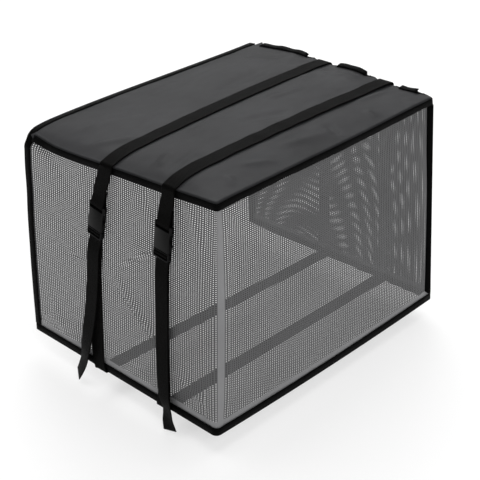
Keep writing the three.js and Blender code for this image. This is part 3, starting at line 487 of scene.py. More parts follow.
# %% [markdown]
# ## Effects that the finishes share
# Five textiles and one plastic make up the cover. Their shared effects are node groups, each built
# once and placed in every material with its own values. A small helper adds a node, one adds a
# sum, and one opens a group with named sockets.

# %% Node helpers
def add_node(tree, kind, place, **values):
    node = tree.nodes.new(kind)
    node.location = place
    for key, value in values.items():
        setattr(node, key, value)
    return node


def sum_up(tree, operation, place, *sources):
    node = add_node(tree, "ShaderNodeMath", place, operation=operation)
    for socket, source in zip(node.inputs, sources):
        if isinstance(source, (int, float)):
            socket.default_value = source
        else:
            tree.links.new(source, socket)
    return node.outputs[0]


def new_group(name, inputs, outputs):
    group = bpy.data.node_groups.new(name, "ShaderNodeTree")
    for label, kind, value in inputs:
        socket = group.interface.new_socket(label, in_out="INPUT", socket_type=kind)
        if value is not None:
            socket.default_value = value
    for label, kind in outputs:
        group.interface.new_socket(label, in_out="OUTPUT", socket_type=kind)
    start = add_node(group, "NodeGroupInput", (-900, 0))
    end = add_node(group, "NodeGroupOutput", (700, 0))
    return group, start, end


VALUE, VECTOR = "NodeSocketFloat", "NodeSocketVector"
print("node helpers ready")

# %% [markdown]
# ## Woven threads
# In a plain weave the threads go over and under one another like a chequerboard of small humps. An
# image could show them, but two crossing sine waves do the same at any size.

# %% Group: woven threads
weave_group, start, end = new_group(
    "woven threads",
    [("Place", VECTOR, None), ("Across", VALUE, 900.0), ("Along", VALUE, 900.0)],
    [("Height", VALUE), ("Tone", VALUE)],
)
split = add_node(weave_group, "ShaderNodeSeparateXYZ", (-700, 0))
weave_group.links.new(start.outputs["Place"], split.inputs[0])
u = sum_up(weave_group, "MULTIPLY", (-500, 120), split.outputs[0], start.outputs["Across"])
v = sum_up(weave_group, "MULTIPLY", (-500, -80), split.outputs[1], start.outputs["Along"])
wave_u = sum_up(weave_group, "SINE", (-320, 120), sum_up(weave_group, "MULTIPLY", (-400, 120), u, math.pi))
wave_v = sum_up(weave_group, "SINE", (-320, -80), sum_up(weave_group, "MULTIPLY", (-400, -80), v, math.pi))
crossing = sum_up(weave_group, "MULTIPLY", (-120, 40), wave_u, wave_v)
height = sum_up(weave_group, "MULTIPLY_ADD", (80, 40), crossing, 0.5, 0.5)
tone = sum_up(weave_group, "MULTIPLY_ADD", (280, -60), height, 0.35, 0.8)
weave_group.links.new(height, end.inputs["Height"])
weave_group.links.new(tone, end.inputs["Tone"])
print("woven threads group ready")

# %% [markdown]
# ## Dust and painted sheen
# Cloth that has been handled is never one even tone, and its coat does not shine evenly. A large soft
# noise paints one tone for both: partly dust, partly painted sheen, patches that stand in for uneven
# shine. A fine noise gives the grain that the moulded plastic needs.

# %% Group: dust and sheen blotches
dust_and_sheen_group, start, end = new_group(
    "dust and sheen blotches",
    [("Place", VECTOR, None), ("Size", VALUE, 12.0), ("Low", VALUE, 0.85), ("High", VALUE, 1.15)],
    [("Tone", VALUE), ("Grain", VALUE)],
)
cloud = add_node(dust_and_sheen_group, "ShaderNodeTexNoise", (-600, 100))
cloud.inputs["Detail"].default_value = 4
cloud.inputs["Roughness"].default_value = 0.55
grain = add_node(dust_and_sheen_group, "ShaderNodeTexNoise", (-600, -200))
grain.inputs["Scale"].default_value = 900
grain.inputs["Detail"].default_value = 2
for node in (cloud, grain):
    dust_and_sheen_group.links.new(start.outputs["Place"], node.inputs["Vector"])
dust_and_sheen_group.links.new(start.outputs["Size"], cloud.inputs["Scale"])
rescale = add_node(dust_and_sheen_group, "ShaderNodeMapRange", (-300, 100))
rescale.inputs["From Min"].default_value, rescale.inputs["From Max"].default_value = 0.3, 0.7
dust_and_sheen_group.links.new(cloud.outputs["Fac"], rescale.inputs["Value"])
dust_and_sheen_group.links.new(start.outputs["Low"], rescale.inputs["To Min"])
dust_and_sheen_group.links.new(start.outputs["High"], rescale.inputs["To Max"])
dust_and_sheen_group.links.new(rescale.outputs["Result"], end.inputs["Tone"])
dust_and_sheen_group.links.new(grain.outputs["Fac"], end.inputs["Grain"])
print("dust and sheen blotches group ready")

# %% [markdown]
# ## The net's holes
# The net is knitted with upright columns of small rounded holes. As real holes they would need
# millions of faces, and they are under four millimetres, so the alpha channel opens them. Each
# hole is the inside of a soft square, whose distance is summed with a power between a circle's and
# a square's. The output Solid is 1 on a thread and 0 in a hole.

# %% Group: the net's holes
ROUNDNESS, HOLE_EDGE = 2.4, 0.02
net_group, start, end = new_group(
    "net holes",
    [("Place", VECTOR, None), ("Pitch across", VALUE, 4.6), ("Pitch down", VALUE, 3.1),
     ("Hole", VALUE, 0.27)],
    [("Solid", VALUE), ("Height", VALUE)],
)
split = add_node(net_group, "ShaderNodeSeparateXYZ", (-1100, 0))
net_group.links.new(start.outputs["Place"], split.inputs[0])
u_mm = sum_up(net_group, "MULTIPLY", (-950, 150), split.outputs[0], 1000.0)
v_mm = sum_up(net_group, "MULTIPLY", (-950, -150), split.outputs[1], 1000.0)
row = sum_up(net_group, "DIVIDE", (-800, -150), v_mm, start.outputs["Pitch down"])
column = sum_up(net_group, "DIVIDE", (-800, 150), u_mm, start.outputs["Pitch across"])
du = sum_up(net_group, "SUBTRACT", (-120, 150), sum_up(net_group, "FRACT", (-200, 150), column), 0.5)
dv = sum_up(net_group, "SUBTRACT", (-120, -100), sum_up(net_group, "FRACT", (-200, -100), row), 0.5)
du2 = sum_up(net_group, "POWER", (20, 150), sum_up(net_group, "ABSOLUTE", (-50, 150), du), ROUNDNESS)
dv2 = sum_up(net_group, "POWER", (20, -100), sum_up(net_group, "ABSOLUTE", (-50, -100), dv), ROUNDNESS)
total = sum_up(net_group, "POWER", (240, 40), sum_up(net_group, "ADD", (130, 40), du2, dv2), 1 / ROUNDNESS)
edge_band = add_node(net_group, "ShaderNodeMapRange", (380, 60), interpolation_type="SMOOTHSTEP")
net_group.links.new(total, edge_band.inputs["Value"])
net_group.links.new(sum_up(net_group, "SUBTRACT", (260, -120), start.outputs["Hole"], HOLE_EDGE),
                    edge_band.inputs["From Min"])
net_group.links.new(sum_up(net_group, "ADD", (260, -220), start.outputs["Hole"], HOLE_EDGE),
                    edge_band.inputs["From Max"])
net_group.links.new(edge_band.outputs["Result"], end.inputs["Solid"])
net_group.links.new(total, end.inputs["Height"])
print("net holes group ready")

# %% [markdown]
# ## Woven finishes
# The coated top, the tape, the webbing and the thread are all woven, so one function builds them.
# They differ in tone, in sheen, in threads to the metre and in how much the weave stands out. The
# tapes and belts are nearly black; the top has a greyish coat that shines at a low angle.

# %% Build one textile finish
def cut_place(tree):
    node = add_node(tree, "ShaderNodeUVMap", (-1200, 0))
    node.uv_map = "cut"
    return node.outputs["UV"]


def toned_colour(tree, colour, tones, shader):
    """Multiply a plain colour by one or more tones that change over the cloth."""
    product = tones[0] if len(tones) == 1 else sum_up(tree, "MULTIPLY", (-500, 300), *tones)
    parts = add_node(tree, "ShaderNodeCombineColor", (-200, 300))
    for k, socket in enumerate(("Red", "Green", "Blue")):
        tree.links.new(sum_up(tree, "MULTIPLY", (-350, 360 - 60 * k), product, colour[k]),
                       parts.inputs[socket])
    tree.links.new(parts.outputs["Color"], shader.inputs["Base Color"])


def cloth_finish(name, colour, roughness, across, along, bump, blotch, gloss):
    material = plain_material(name, colour, roughness)
    tree = material.node_tree
    shader = tree.nodes["Principled BSDF"]
    place = cut_place(tree)
    weave = add_node(tree, "ShaderNodeGroup", (-900, 150), node_tree=weave_group)
    tree.links.new(place, weave.inputs["Place"])
    weave.inputs["Across"].default_value, weave.inputs["Along"].default_value = across, along
    cloud = add_node(tree, "ShaderNodeGroup", (-900, -150), node_tree=dust_and_sheen_group)
    tree.links.new(place, cloud.inputs["Place"])
    for label, value in zip(("Size", "Low", "High"), blotch):
        cloud.inputs[label].default_value = value
    # The blotch tone is partly dust and partly painted sheen.
    toned_colour(tree, colour, [weave.outputs["Tone"], cloud.outputs["Tone"]], shader)
    raised = add_node(tree, "ShaderNodeBump", (-300, -200))
    raised.inputs["Strength"].default_value = bump
    raised.inputs["Distance"].default_value = 0.0004
    tree.links.new(weave.outputs["Height"], raised.inputs["Height"])
    tree.links.new(raised.outputs["Normal"], shader.inputs["Normal"])
    shader.inputs["Specular IOR Level"].default_value = gloss
    print("finish", name)
    return material


coated_cloth = cloth_finish("coated cloth", (0.029, 0.0292, 0.0309), 0.5, 1100, 1100, 0.25,
                            (7, 0.76, 1.24), 0.06)
binding = cloth_finish("binding tape", (0.0015, 0.0015, 0.0015), 0.5, 1300, 900, 0.5,
                       (20, 0.8, 1.25), 0.02)
webbing = cloth_finish("belt webbing", (0.002, 0.0019, 0.0018), 0.4, 700, 900, 0.8,
                       (20, 0.85, 1.2), 0.014)
thread = cloth_finish("sewing thread", (0.003, 0.003, 0.003), 0.7, 3000, 1500, 0.3,
                      (20, 0.9, 1.1), 0.05)

# %% [markdown]
# ## The net's finish
# The grey net is a mat coated mesh. Above the hem and at the left front corner it lies double: there
# the second layer closes the holes, and the cloth looks paler. A second UV map, "margin", tells the
# finish how far each place is from the hem and from that corner.

# %% Build the net's finish
HEM_DOUBLED, CORNER_DOUBLED, DOUBLED_COVER, DOUBLED_PALER = 0.0215, 0.011, 0.93, 1.3


def net_finish(name, colour, roughness, hole):
    material = plain_material(name, colour, roughness)
    tree = material.node_tree
    shader = tree.nodes["Principled BSDF"]
    place = cut_place(tree)
    holes = add_node(tree, "ShaderNodeGroup", (-900, 150), node_tree=net_group)
    tree.links.new(place, holes.inputs["Place"])
    holes.inputs["Hole"].default_value = hole
    cloud = add_node(tree, "ShaderNodeGroup", (-900, -150), node_tree=dust_and_sheen_group)
    tree.links.new(place, cloud.inputs["Place"])
    for label, value in zip(("Size", "Low", "High"), (9, 0.92, 1.08)):
        cloud.inputs[label].default_value = value
    raised = add_node(tree, "ShaderNodeBump", (-300, -200))
    raised.inputs["Strength"].default_value = 0.6
    raised.inputs["Distance"].default_value = 0.0005
    tree.links.new(holes.outputs["Height"], raised.inputs["Height"])
    tree.links.new(raised.outputs["Normal"], shader.inputs["Normal"])
    margin = add_node(tree, "ShaderNodeUVMap", (-1200, -400))
    margin.uv_map = "margin"
    parts = add_node(tree, "ShaderNodeSeparateXYZ", (-1000, -400))
    tree.links.new(margin.outputs["UV"], parts.inputs[0])
    doubled = sum_up(tree, "MAXIMUM", (-650, -400),
                     sum_up(tree, "LESS_THAN", (-800, -350), parts.outputs[0], HEM_DOUBLED),
                     sum_up(tree, "LESS_THAN", (-800, -480), parts.outputs[1], CORNER_DOUBLED))
    covered = sum_up(tree, "MAXIMUM", (-400, -350), holes.outputs["Solid"],
                     sum_up(tree, "MULTIPLY", (-520, -400), doubled, DOUBLED_COVER))
    tree.links.new(covered, shader.inputs["Alpha"])
    paler = sum_up(tree, "MULTIPLY_ADD", (-520, -550), doubled, DOUBLED_PALER, 1.0)
    # The blotch tone is partly dust and partly painted sheen.
    toned_colour(tree, colour, [cloud.outputs["Tone"], paler], shader)
    shader.inputs["Specular IOR Level"].default_value = 0.25
    print("finish", name)
    return material


grey_net = net_finish("grey net", (0.1, 0.1, 0.102), 0.6, 0.19)

# %% [markdown]
# ## The buckles' finish
# The buckles are moulded in black plastic with a satin skin: smoother than cloth, with a very fine
# grain from the mould and hardly any colour of its own.

# %% Build the plastic
def plastic_finish(name, colour, roughness, gloss):
    material = plain_material(name, colour, roughness)
    tree = material.node_tree
    shader = tree.nodes["Principled BSDF"]
    place = add_node(tree, "ShaderNodeTexCoord", (-1200, 0)).outputs["Object"]
    cloud = add_node(tree, "ShaderNodeGroup", (-900, 0), node_tree=dust_and_sheen_group)
    tree.links.new(place, cloud.inputs["Place"])
    for label, value in zip(("Size", "Low", "High"), (60, 0.85, 1.2)):
        cloud.inputs[label].default_value = value
    # The blotch tone is partly dust and partly painted sheen.
    toned_colour(tree, colour, [cloud.outputs["Tone"]], shader)
    raised = add_node(tree, "ShaderNodeBump", (-300, -200))
    raised.inputs["Strength"].default_value = 0.15
    raised.inputs["Distance"].default_value = 0.0002
    tree.links.new(cloud.outputs["Grain"], raised.inputs["Height"])
    tree.links.new(raised.outputs["Normal"], shader.inputs["Normal"])
    shader.inputs["Specular IOR Level"].default_value = gloss
    print("finish", name)
    return material


buckle_plastic = plastic_finish("buckle plastic", (0.003, 0.003, 0.0031), 0.3, 0.08)

# %% [markdown]
# ## The top
# The top is cut from one piece of coated cloth. Close to the seam the thread draws the cloth into
# small puckers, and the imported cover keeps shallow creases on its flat. Both could be a bump, but a
# bump leaves the outline straight, so they are moved into the grid's points. The grid is finer
# where the cloth bends: at its rim and at the tape across the back.

# %% Lay out the top panel's grid
FLAT_INSET = SEAM_INSET + LIP_RADIUS
TAPED_ROW = HALF_D - TAPED_END
TAPED_STEP = 2.6
BENT_ROW = TAPED_ROW - 6
CREASE_DEPTH, LEDGE_DRAWN = 2.3, 12
rim_step = RIM_RADIUS / (WIDTH - 2 * FLAT_INSET)
front_rim = -HALF_D + FLAT_INSET
PANEL_COLUMNS = [0, rim_step, 0.012] + spread(0.02, 0.98, 110) + [0.988, 1 - rim_step, 1]
PANEL_ROWS = ([HALF_D, HALF_D - 3, HALF_D - 7, HALF_D - 10, TAPED_ROW, TAPED_ROW - TAPED_STEP, BENT_ROW]
              + spread(175, -186, 88) + [-189.5, front_rim + RIM_RADIUS, front_rim])
LIP_FLAT = BOUND - LIP_RADIUS
LIP = [(0.27, 0), (0.5, 0), (0.73, 0), (1, 0), (1, 2), (1, 4.1), (1, 6.8), (1, LIP_FLAT)]
TOP_CREASES = [  # x0, y0, x1, y1, width, height
    (-228, 70, -180, 40, 7, 1.0), (-225, 20, -170, 30, 6, -0.8), (-222, -60, -190, -45, 6, 1.0),
    (-225, -85, -160, -70, 5, -0.8), (-200, 120, -120, 95, 12, 0.9), (60, -20, 120, -28, 7, 1.0),
    (150, -120, 210, -128, 6, 1.2), (-60, -150, 10, -165, 9, 0.8), (40, 70, 150, 80, 14, -1.0),
    (-100, 150, 20, 140, 12, 0.9), (190, 140, 215, 90, 8, -0.9), (210, 0, 225, -60, 7, 1.0),
    (-30, -50, 30, -75, 9, -0.9), (100, 30, 180, 10, 10, 0.8), (-150, -150, -110, -172, 7, 0.9),
    (30, -182, 42, -150, 7, -1.0), (-205, -182, -190, -160, 6, 0.9), (120, -184, 128, -160, 6, 0.8),
    (-120, -30, -70, -10, 10, 0.7), (-160, 60, -100, 70, 11, -0.7),
]


# %% Draw in the panel's edges
def edge_inset(y):
    """How far in the panel's edge lies: further at the back, under the tape there."""
    out = ease(TAPED_ROW, TAPED_ROW - TAPED_STEP, y)
    return lerp(NET_TOP_INSET + 1.4 * ease(160, 180, y) + NET / 2 + 2.1, FLAT_INSET, out)


def panel_x(fraction, y):
    left = -HALF_W + edge_inset(y) + shoulder_inset(y)
    return lerp(left, HALF_W - edge_inset(y), fraction)


def panel_point(x, y):
    return Vector((x + shift(x, y, TOP_X), y + shift(x, y, TOP_Y), panel_height(x, y)))


print("panel is", round(panel_x(1, 0) - panel_x(0, 0), 1), "mm wide inside its round")

# %% Puckers, creases and the ledge
def top_detail(x, y):
    """Puckers beside the seam, and creases on the flat that the belts press down."""
    rim = min(x + HALF_W, HALF_W - x, y + HALF_D)
    along = y if min(x + HALF_W, HALF_W - x) < y + HALF_D else x
    pucker = 1.1 * noise.noise(Vector((along / 11.0, 4.2, 0))) * math.exp(-rim / 12) * ease(2, 8, rim)
    under_belt = 1.0
    for belt in BELTS.values():
        row = lerp(*belt["top"], (x + HALF_W) / WIDTH)
        under_belt *= 1 - 0.85 * math.exp(-(((y - row) / 19) ** 4))
    soft = (0.9 * noise.noise(Vector((x / 55, y / 38, 7.7)))
            + 0.45 * noise.noise(Vector((x / 21, y / 15, 2.2)))
            + CREASE_DEPTH * fold_rise(TOP_CREASES, x, y))
    return pucker + under_belt * soft * ease(6, 26, rim) * ease(0, 22, HALF_D - y)


def ledge(y):
    """Where the right edge's taped seam lies level as a ledge, from 0 under the belts to 1."""
    share = ease(-HALF_D, 32 - HALF_D, y) * (1 - ease(HALF_D - 30, HALF_D - 4, y))
    for belt in BELTS.values():
        share *= ease(11, 38, abs(y - belt["top"][1]))
    return share


def flat_point(i, j):
    y = PANEL_ROWS[j]
    x = panel_x(PANEL_COLUMNS[i], y)
    corner = j == len(PANEL_ROWS) - 1 and i in (0, len(PANEL_COLUMNS) - 1)
    inwards = RIM_RADIUS * (1 - math.sqrt(0.5)) if corner else 0
    drawn_in = LEDGE_DRAWN * ease(0.45, 1, ledge(y)) * ease(HALF_W - 90, HALF_W, x)
    x, y = x - math.copysign(inwards, x) - drawn_in, y + inwards
    return panel_point(x, y) + Vector((0, 0, top_detail(x, y)))


print("the ledge is full along", sum(ledge(y) > 0.9 for y in PANEL_ROWS), "rows")

# %% [markdown]
# ## The lip
# The panel's rim turns down over a small round into a lip, which is sewn to the walls and taped.
# Along the right edge the photographed seam shows a black band, so there the lip lies nearly level
# as a narrow ledge; under the belts it is pressed down and hangs like the rest. We walk along the
# rim once, note each station's outward direction and angle, and lay ring after ring of points.

# %% Walk along the rim
UP, LEFT, RIGHT = Vector((0, 0, 1)), Vector((-1, 0, 0)), Vector((1, 0, 0))


def lip_angle(column, y, run):
    """The lip's angle from level: it hangs, but along the right edge it lies as a ledge."""
    wave = 0.9 + 0.45 * math.sin(run / 31) + 0.3 * math.sin(run / 13 + 1)
    hanging = wave / BOUND - math.pi / 2
    if column == 0:
        hanging += 0.5 * ease(135, 182, y)
    if column < len(PANEL_COLUMNS) - 1:
        return hanging
    return lerp(hanging, 0.3 + 0.25 * noise.noise(Vector((run / 25, 1.7, 0))), ledge(y))


def walk_rim():
    """Stations down the left edge, along the front and back up the right edge."""
    last_row, last_column = len(PANEL_ROWS) - 1, len(PANEL_COLUMNS) - 1
    places = ([(0, j) for j in range(last_row + 1)] + [(i, last_row) for i in range(1, last_column + 1)]
              + [(last_column, j) for j in reversed(range(last_row))])
    points = [flat_point(i, j) for i, j in places]
    last, run, rim = len(points) - 1, 0.0, []

    def level_step(a, b):
        step = points[b] - points[a]
        step.z = 0
        return step.normalized()

    for k, (i, j) in enumerate(places):
        arriving = level_step(max(0, k - 1), max(1, k))
        leaving = level_step(min(last - 1, k), min(last, k + 1))
        ahead = (arriving + leaving).normalized()
        out = Vector((ahead.y, -ahead.x, 0)) / ahead.dot(arriving)
        run += (points[k] - points[k - 1]).length if k else 0
        y = PANEL_ROWS[j]
        rim.append({"i": i, "j": j, "at": points[k], "out": out, "bend": lip_angle(i, y, run), "y": y})
    return rim


def lip_point(station, turned, straight):
    """A point of the lip: a share of the round, then a straight length."""
    bend = station["bend"] or 0.001
    arc = LIP_RADIUS * math.pi / 2 / bend
    reach = arc * math.sin(bend * turned) + straight * math.cos(bend)
    rise = arc * (1 - math.cos(bend * turned)) + straight * math.sin(bend)
    reach = lerp(0.6 * turned, reach, ease(TAPED_ROW, TAPED_ROW - TAPED_STEP, station["y"]))
    rise = lerp(-0.17 * turned, rise, ease(TAPED_ROW - 1.8, BENT_ROW, station["y"]))
    return station["at"] + station["out"] * reach + UP * rise


rim = walk_rim()
print("rim has", len(rim), "stations")

# %% Lay the top cloth
ROUND_LENGTH, CLOTH_THICKNESS = LIP_RADIUS * 1.57, 0.0011
columns, rows = len(PANEL_COLUMNS), len(PANEL_ROWS)
points = [flat_point(i, j) for i in range(columns) for j in range(rows)]
cuts = [(p.x, p.y) for p in points]
faces = grid_faces(columns, rows)
previous = [s["i"] * rows + s["j"] for s in rim]
for turned, straight in LIP:
    ring = []
    for s in rim:
        points.append(lip_point(s, turned, straight))
        flat_out = s["out"] * (ROUND_LENGTH * turned + straight)
        cuts.append((s["at"].x + flat_out.x, s["at"].y + flat_out.y))
        ring.append(len(points) - 1)
    faces += [(previous[k + 1], previous[k], ring[k], ring[k + 1]) for k in range(len(rim) - 1)]
    previous = ring
top = link_piece("top_cloth", points, faces, cuts, coated_cloth, ["top_panel"])
fix_normals(top)
thicker = top.modifiers.new("cloth thickness", "SOLIDIFY")
thicker.thickness, thicker.offset = CLOTH_THICKNESS, -1
print("top cloth is", round(sum(p.area for p in top.data.polygons), 4), "m2")

# %% [markdown]
# ## The net walls
# One length of net wraps the left wall and the front; a second closes the right. At the right front
# corner both turn outwards into a narrow flange. A sheet could be given a thickness, but the light
# has to pass through the holes, so it is a single layer of points four millimetres apart, fine
# enough for the creases, and the finish opens the holes.

# %% Rows of the walls and the flange
FLANGE_FROM = BOUND + TAPE + GAP + 0.5
FLANGE_FULL = FLANGE_FROM + 4
FLANGE, FLANGE_TIP, FLANGE_APART, FLANGE_CLEAR = 8.7, 1.6, 0.75, 14
DIAGONAL = Vector((1, -1, 0)).normalized()
ACROSS = Vector((1, 1, 0)).normalized()
corner_line = WallLine(HALF_W, -HALF_D, 0, 0, free=False)
wall_rows = ([("top", d) for d in (2.4, 8, FLANGE_FROM, FLANGE_FROM + 2, FLANGE_FULL)]
             + [("share", k) for k in spread(0.062, 0.938, 84)]
             + [("hem", d) for d in (FLANGE_FULL, FLANGE_FROM + 2, FLANGE_FROM, 7, 1.3)])


def row_depth(line, row):
    kind, value = row
    return {"top": value, "share": value * line.tall, "hem": line.tall - value}[kind]


def flange_at(depth):
    tall = corner_line.tall
    share = ease(FLANGE_FROM, FLANGE_FULL, depth) * ease(FLANGE_FROM, FLANGE_FULL, tall - depth)
    base = corner_line.at(depth, 0)
    tip = base - DIAGONAL * FLANGE_TIP
    return share, base, tip, tip - DIAGONAL * FLANGE


def flange_column(side, place):
    """The net's last columns: straight under the tapes, turned out along the diagonal between."""
    column = []
    for row in wall_rows:
        depth = row_depth(corner_line, row)
        share, base, tip, root = flange_at(depth)
        inset = -net_out(-HALF_D, depth) + NET / 2
        turned = (tip if place == "tip" else root) + ACROSS * side * FLANGE_APART
        drawn = 0 if place == "tip" else 1.2
        if side < 0:
            straight = Vector((base.x - inset - NET - drawn, base.y + inset, base.z))
        else:
            straight = Vector((base.x - inset, base.y + inset + GAP + drawn, base.z))
        column.append(straight.lerp(turned, share) + ACROSS * side * 1.6 * share * (1 - share))
    return column


print("walls have", len(wall_rows), "rows of points")

# %% Hang the nets
FRONT_BEYOND, NO_MARGIN, CUT_TOP = -202, 100, 500


def wall_column(line):
    return [line.at(d, net_out(line.y, d) - NET / 2) for d in (row_depth(line, r) for r in wall_rows)]


def hang_net(name, lines, before, after, node, starts_at):
    """One length of net: its columns in order, each place on the cut, and the double margins."""
    sheets = before + [wall_column(line) for line in lines] + after
    middle = len(wall_rows) // 2
    points, cuts, margins, run = [], [], [], starts_at
    for k, column in enumerate(sheets):
        run += (column[middle] - sheets[k - 1][middle]).length if k else 0
        points += column
        on_front = column[middle].y < FRONT_BEYOND
        corner = max(0, column[middle].x + HALF_W) if on_front else NO_MARGIN
        fallen = 0.0
        for j, p in enumerate(column):
            fallen += (p - column[j - 1]).length if j else 0
            cuts.append((run, CUT_TOP - fallen))
            margins.append((p.z - column[-1].z, corner))
    faces = grid_faces(len(sheets), len(wall_rows))
    piece = link_piece(name, points, faces, cuts, grey_net, [node])
    layer = piece.data.uv_layers.new(name="margin")
    for loop in piece.data.loops:
        low, side = margins[loop.vertex_index]
        layer.data[loop.index].uv = (low * MM, side * MM)
    print(name, "runs", round(run - starts_at), "mm")
    return piece


left_lines = [WallLine(-HALF_W, y, -1, 0) for y in spread(HALF_D, -HALF_D + CORNER_RADIUS, 98)]
round_lines = [WallLine(-HALF_W + CORNER_RADIUS * (1 - math.cos(a)),
                        -HALF_D + CORNER_RADIUS * (1 - math.sin(a)), -math.cos(a), -math.sin(a))
               for a in spread(0, math.pi / 2, 6)[1:-1]]
front_lines = [WallLine(x, -HALF_D, 0, -1)
               for x in spread(-HALF_W + CORNER_RADIUS, HALF_W - FLANGE_CLEAR, 124)]
right_lines = [WallLine(HALF_W, y, 1, 0) for y in spread(-HALF_D + FLANGE_CLEAR, HALF_D, 60)]
net_left_front = hang_net("net_wall_left_front", left_lines + round_lines + front_lines, [],
                          [flange_column(-1, "root"), flange_column(-1, "tip")], "net_left_front", 0)
net_right = hang_net("net_wall_right", right_lines,
                     [flange_column(1, "tip"), flange_column(1, "root")], [], "net_right", 2000)

# %% [markdown]
# ## Binding tape
# Every edge is bound: a woven tape is folded lengthwise over the raw edge and sewn through. A plain
# bevelled curve would be a round cord, so its outline is drawn as a narrow U and swept along the
# edge. Sewn by a hand-guided machine, it is never quite even, so each leg wavers by a few tenths
# of a millimetre.

# %% Sweep folded tape along an edge
WAVER, WAVER_LENGTH, STITCH_INSET = 0.03, 14, 2.2


def tape_outline(slot, leg):
    """A U around a slot; the distances run inwards from the edge, and across the cloth."""
    inner, outer = slot / 2 + GAP, slot / 2 + GAP + TAPE
    fold = [(-0.45 - outer * 0.55 * math.cos(a), outer * math.sin(a)) for a in spread(-1.2, 1.2, 6)]
    upper = [(leg, inner), (leg + 0.15, inner + TAPE * 0.5), (leg, outer - 0.15), (leg * 0.5, outer)]
    lower = [(leg * 0.5, -outer), (leg, 0.15 - outer), (leg + 0.15, -inner - TAPE * 0.5), (leg, -inner)]
    return upper + [(a, -b) for a, b in fold] + lower + [(-0.45, -inner), (-0.45, inner)]


def edge_stations(path):
    """For each pair of edge and inside point: the place, the way inwards and the cloth's normal."""
    last, stations = len(path) - 1, []
    for i, (edge, inside) in enumerate(path):
        arriving = (path[max(1, i)][0] - path[max(0, i - 1)][0]).normalized()
        leaving = (path[min(last, i + 1)][0] - path[min(last - 1, i)][0]).normalized()
        ahead = (arriving + leaving).normalized()
        inward = (inside - edge).normalized()
        normal = inward.cross(ahead).normalized() / max(0.5, ahead.dot(arriving))
        waver = 1 + WAVER * noise.noise(edge / WAVER_LENGTH)
        stations.append((edge, inward * waver, normal))
    return stations


def bind_edge(name, slot, leg, path, node):
    stations = edge_stations(path)
    points, faces, cuts = strip_solid(tape_outline(slot, leg), stations)
    piece = link_piece(name, points, faces, cuts, binding, [node])
    fix_normals(piece)
    face = slot / 2 + GAP + TAPE
    seams = [[(at + inward * (leg - STITCH_INSET) + normal * face * side, normal.normalized() * side)
              for at, inward, normal in stations] for side in (-1, 1)]
    sewn = sew(f"{name}_stitches", seams)


# %% Bind the top seam
def seam_path():
    """The lip's free edge and a point further in, for each station that isn't under the back tape."""
    path = []
    for s in rim:
        if s["y"] > BENT_ROW:
            continue
        inside = (s["out"].normalized() * math.sin(s["bend"]) - UP * math.cos(s["bend"])) * PANEL / 2
        path.append((lip_point(s, 1, LIP_FLAT + 0.2) + inside, lip_point(s, 1, 0) + inside))
    first, last = [[2 * p - q for p, q in zip(path[a], path[b])] for a, b in ((0, 1), (-1, -2))]
    return [first] + path + [last]


bind_edge("seam_tape", PANEL + 0.7, BOUND - LIP_RADIUS - GAP, seam_path(), "seam_tape_top")

# %% Bind the corner
corner_depths = spread(FLANGE_FROM + 0.3, corner_line.tall - FLANGE_FROM - 0.2, 96)
corner_path = [flange_at(d)[2:] for d in corner_depths]
bind_edge("corner_tape", 2 * NET + GAP, FLANGE - GAP, corner_path, "seam_tape_corner")

# %% Bind the hem
CORNER_CLEAR = 20
hem_front = [WallLine(x, -HALF_D, 0, -1)
             for x in spread(-HALF_W + CORNER_RADIUS, HALF_W - CORNER_CLEAR, 124)]
hem_right = [WallLine(HALF_W, y, 1, 0) for y in spread(-HALF_D + CORNER_CLEAR, HALF_D, 96)]
hem_path = []
for line in left_lines + round_lines + hem_front + [WallLine(HALF_W, -HALF_D, 1, -1)] + hem_right:
    low = line.tall - TAPE - GAP
    out = -SEAM_INSET - NET / 2
    hem_path.append((line.at(low, out), line.at(low - BOUND, out)))
bind_edge("hem_binding", NET + 0.2, BOUND, hem_path, "hem_tape")


# %% Bind the back
def upright(side, depths):
    """Points on a rear edge and as far in as the tape reaches, down one side."""
    outer = WallLine(side * HALF_W, HALF_D, side, 0)
    inner = WallLine(side * HALF_W, HALF_D - BOUND, side, 0)
    pairs = []
    for d in depths:
        out = net_out(HALF_D, d) - NET / 2
        edge_point, inner_point = outer.at(d, out), inner.at(d, out)
        inner_point.z = edge_point.z
        pairs.append((edge_point, inner_point))
    return pairs


def round_shoulder():
    """The rear left corner sags, so the tape goes round it on a wide arc of (out, depth) points."""
    return [[WallLine(-HALF_W, y, 0, 0, free=False).at(depth, 0) + LEFT * out
             for y in (HALF_D, HALF_D - BOUND)] for out, depth in ((-8.2, 0.5), (-12.4, -3.1))]


def sharp_shoulder():
    """At the rear right corner the tape turns at once."""
    (edge_point, inner_point), = upright(1, [PANEL / 2])
    inset = NET_TOP_INSET + 1.4 + NET / 2
    for p, y in ((edge_point, HALF_D), (inner_point, HALF_D - BOUND)):
        p.z = panel_height(HALF_W - inset, y) - PANEL / 2
    return [(edge_point, inner_point)]


BELOW_SHOULDER = 13.8
left_end, right_end = (line.tall - FLANGE_FROM for line in (left_lines[0], right_lines[-1]))
left_upright = upright(-1, [2.4, 6, 9] + spread(BELOW_SHOULDER, left_end, 90))
right_upright = upright(1, spread(BELOW_SHOULDER, right_end, 90))
inner_y, half_panel = HALF_D - BOUND, UP * -PANEL / 2
across = [tuple(panel_point(panel_x(f, y), y) + half_panel for y in (HALF_D, inner_y))
          for f in [rim_step, 0.01] + spread(0.02, 0.98, 110) + [0.99, 1 - rim_step]]
back_path = left_upright[::-1] + round_shoulder() + across + sharp_shoulder() + right_upright
bind_edge("back_binding", PANEL + 0.2, BOUND, back_path, "edge_tape_back")

# %% [markdown]
# ## Belts
# Each belt is one length of webbing. It is sewn in a loop over the upper bar of a buckle's socket,
# goes over the top, down the right wall, under the open bottom and up the left wall to the plug's
# slider, and its spare end hangs in front of itself. A strip drawn as a curve object would twist at
# will where it turns under the hem. So we trace the solid's route, note which way the webbing faces,
# and turn it only where the hanging end twists.

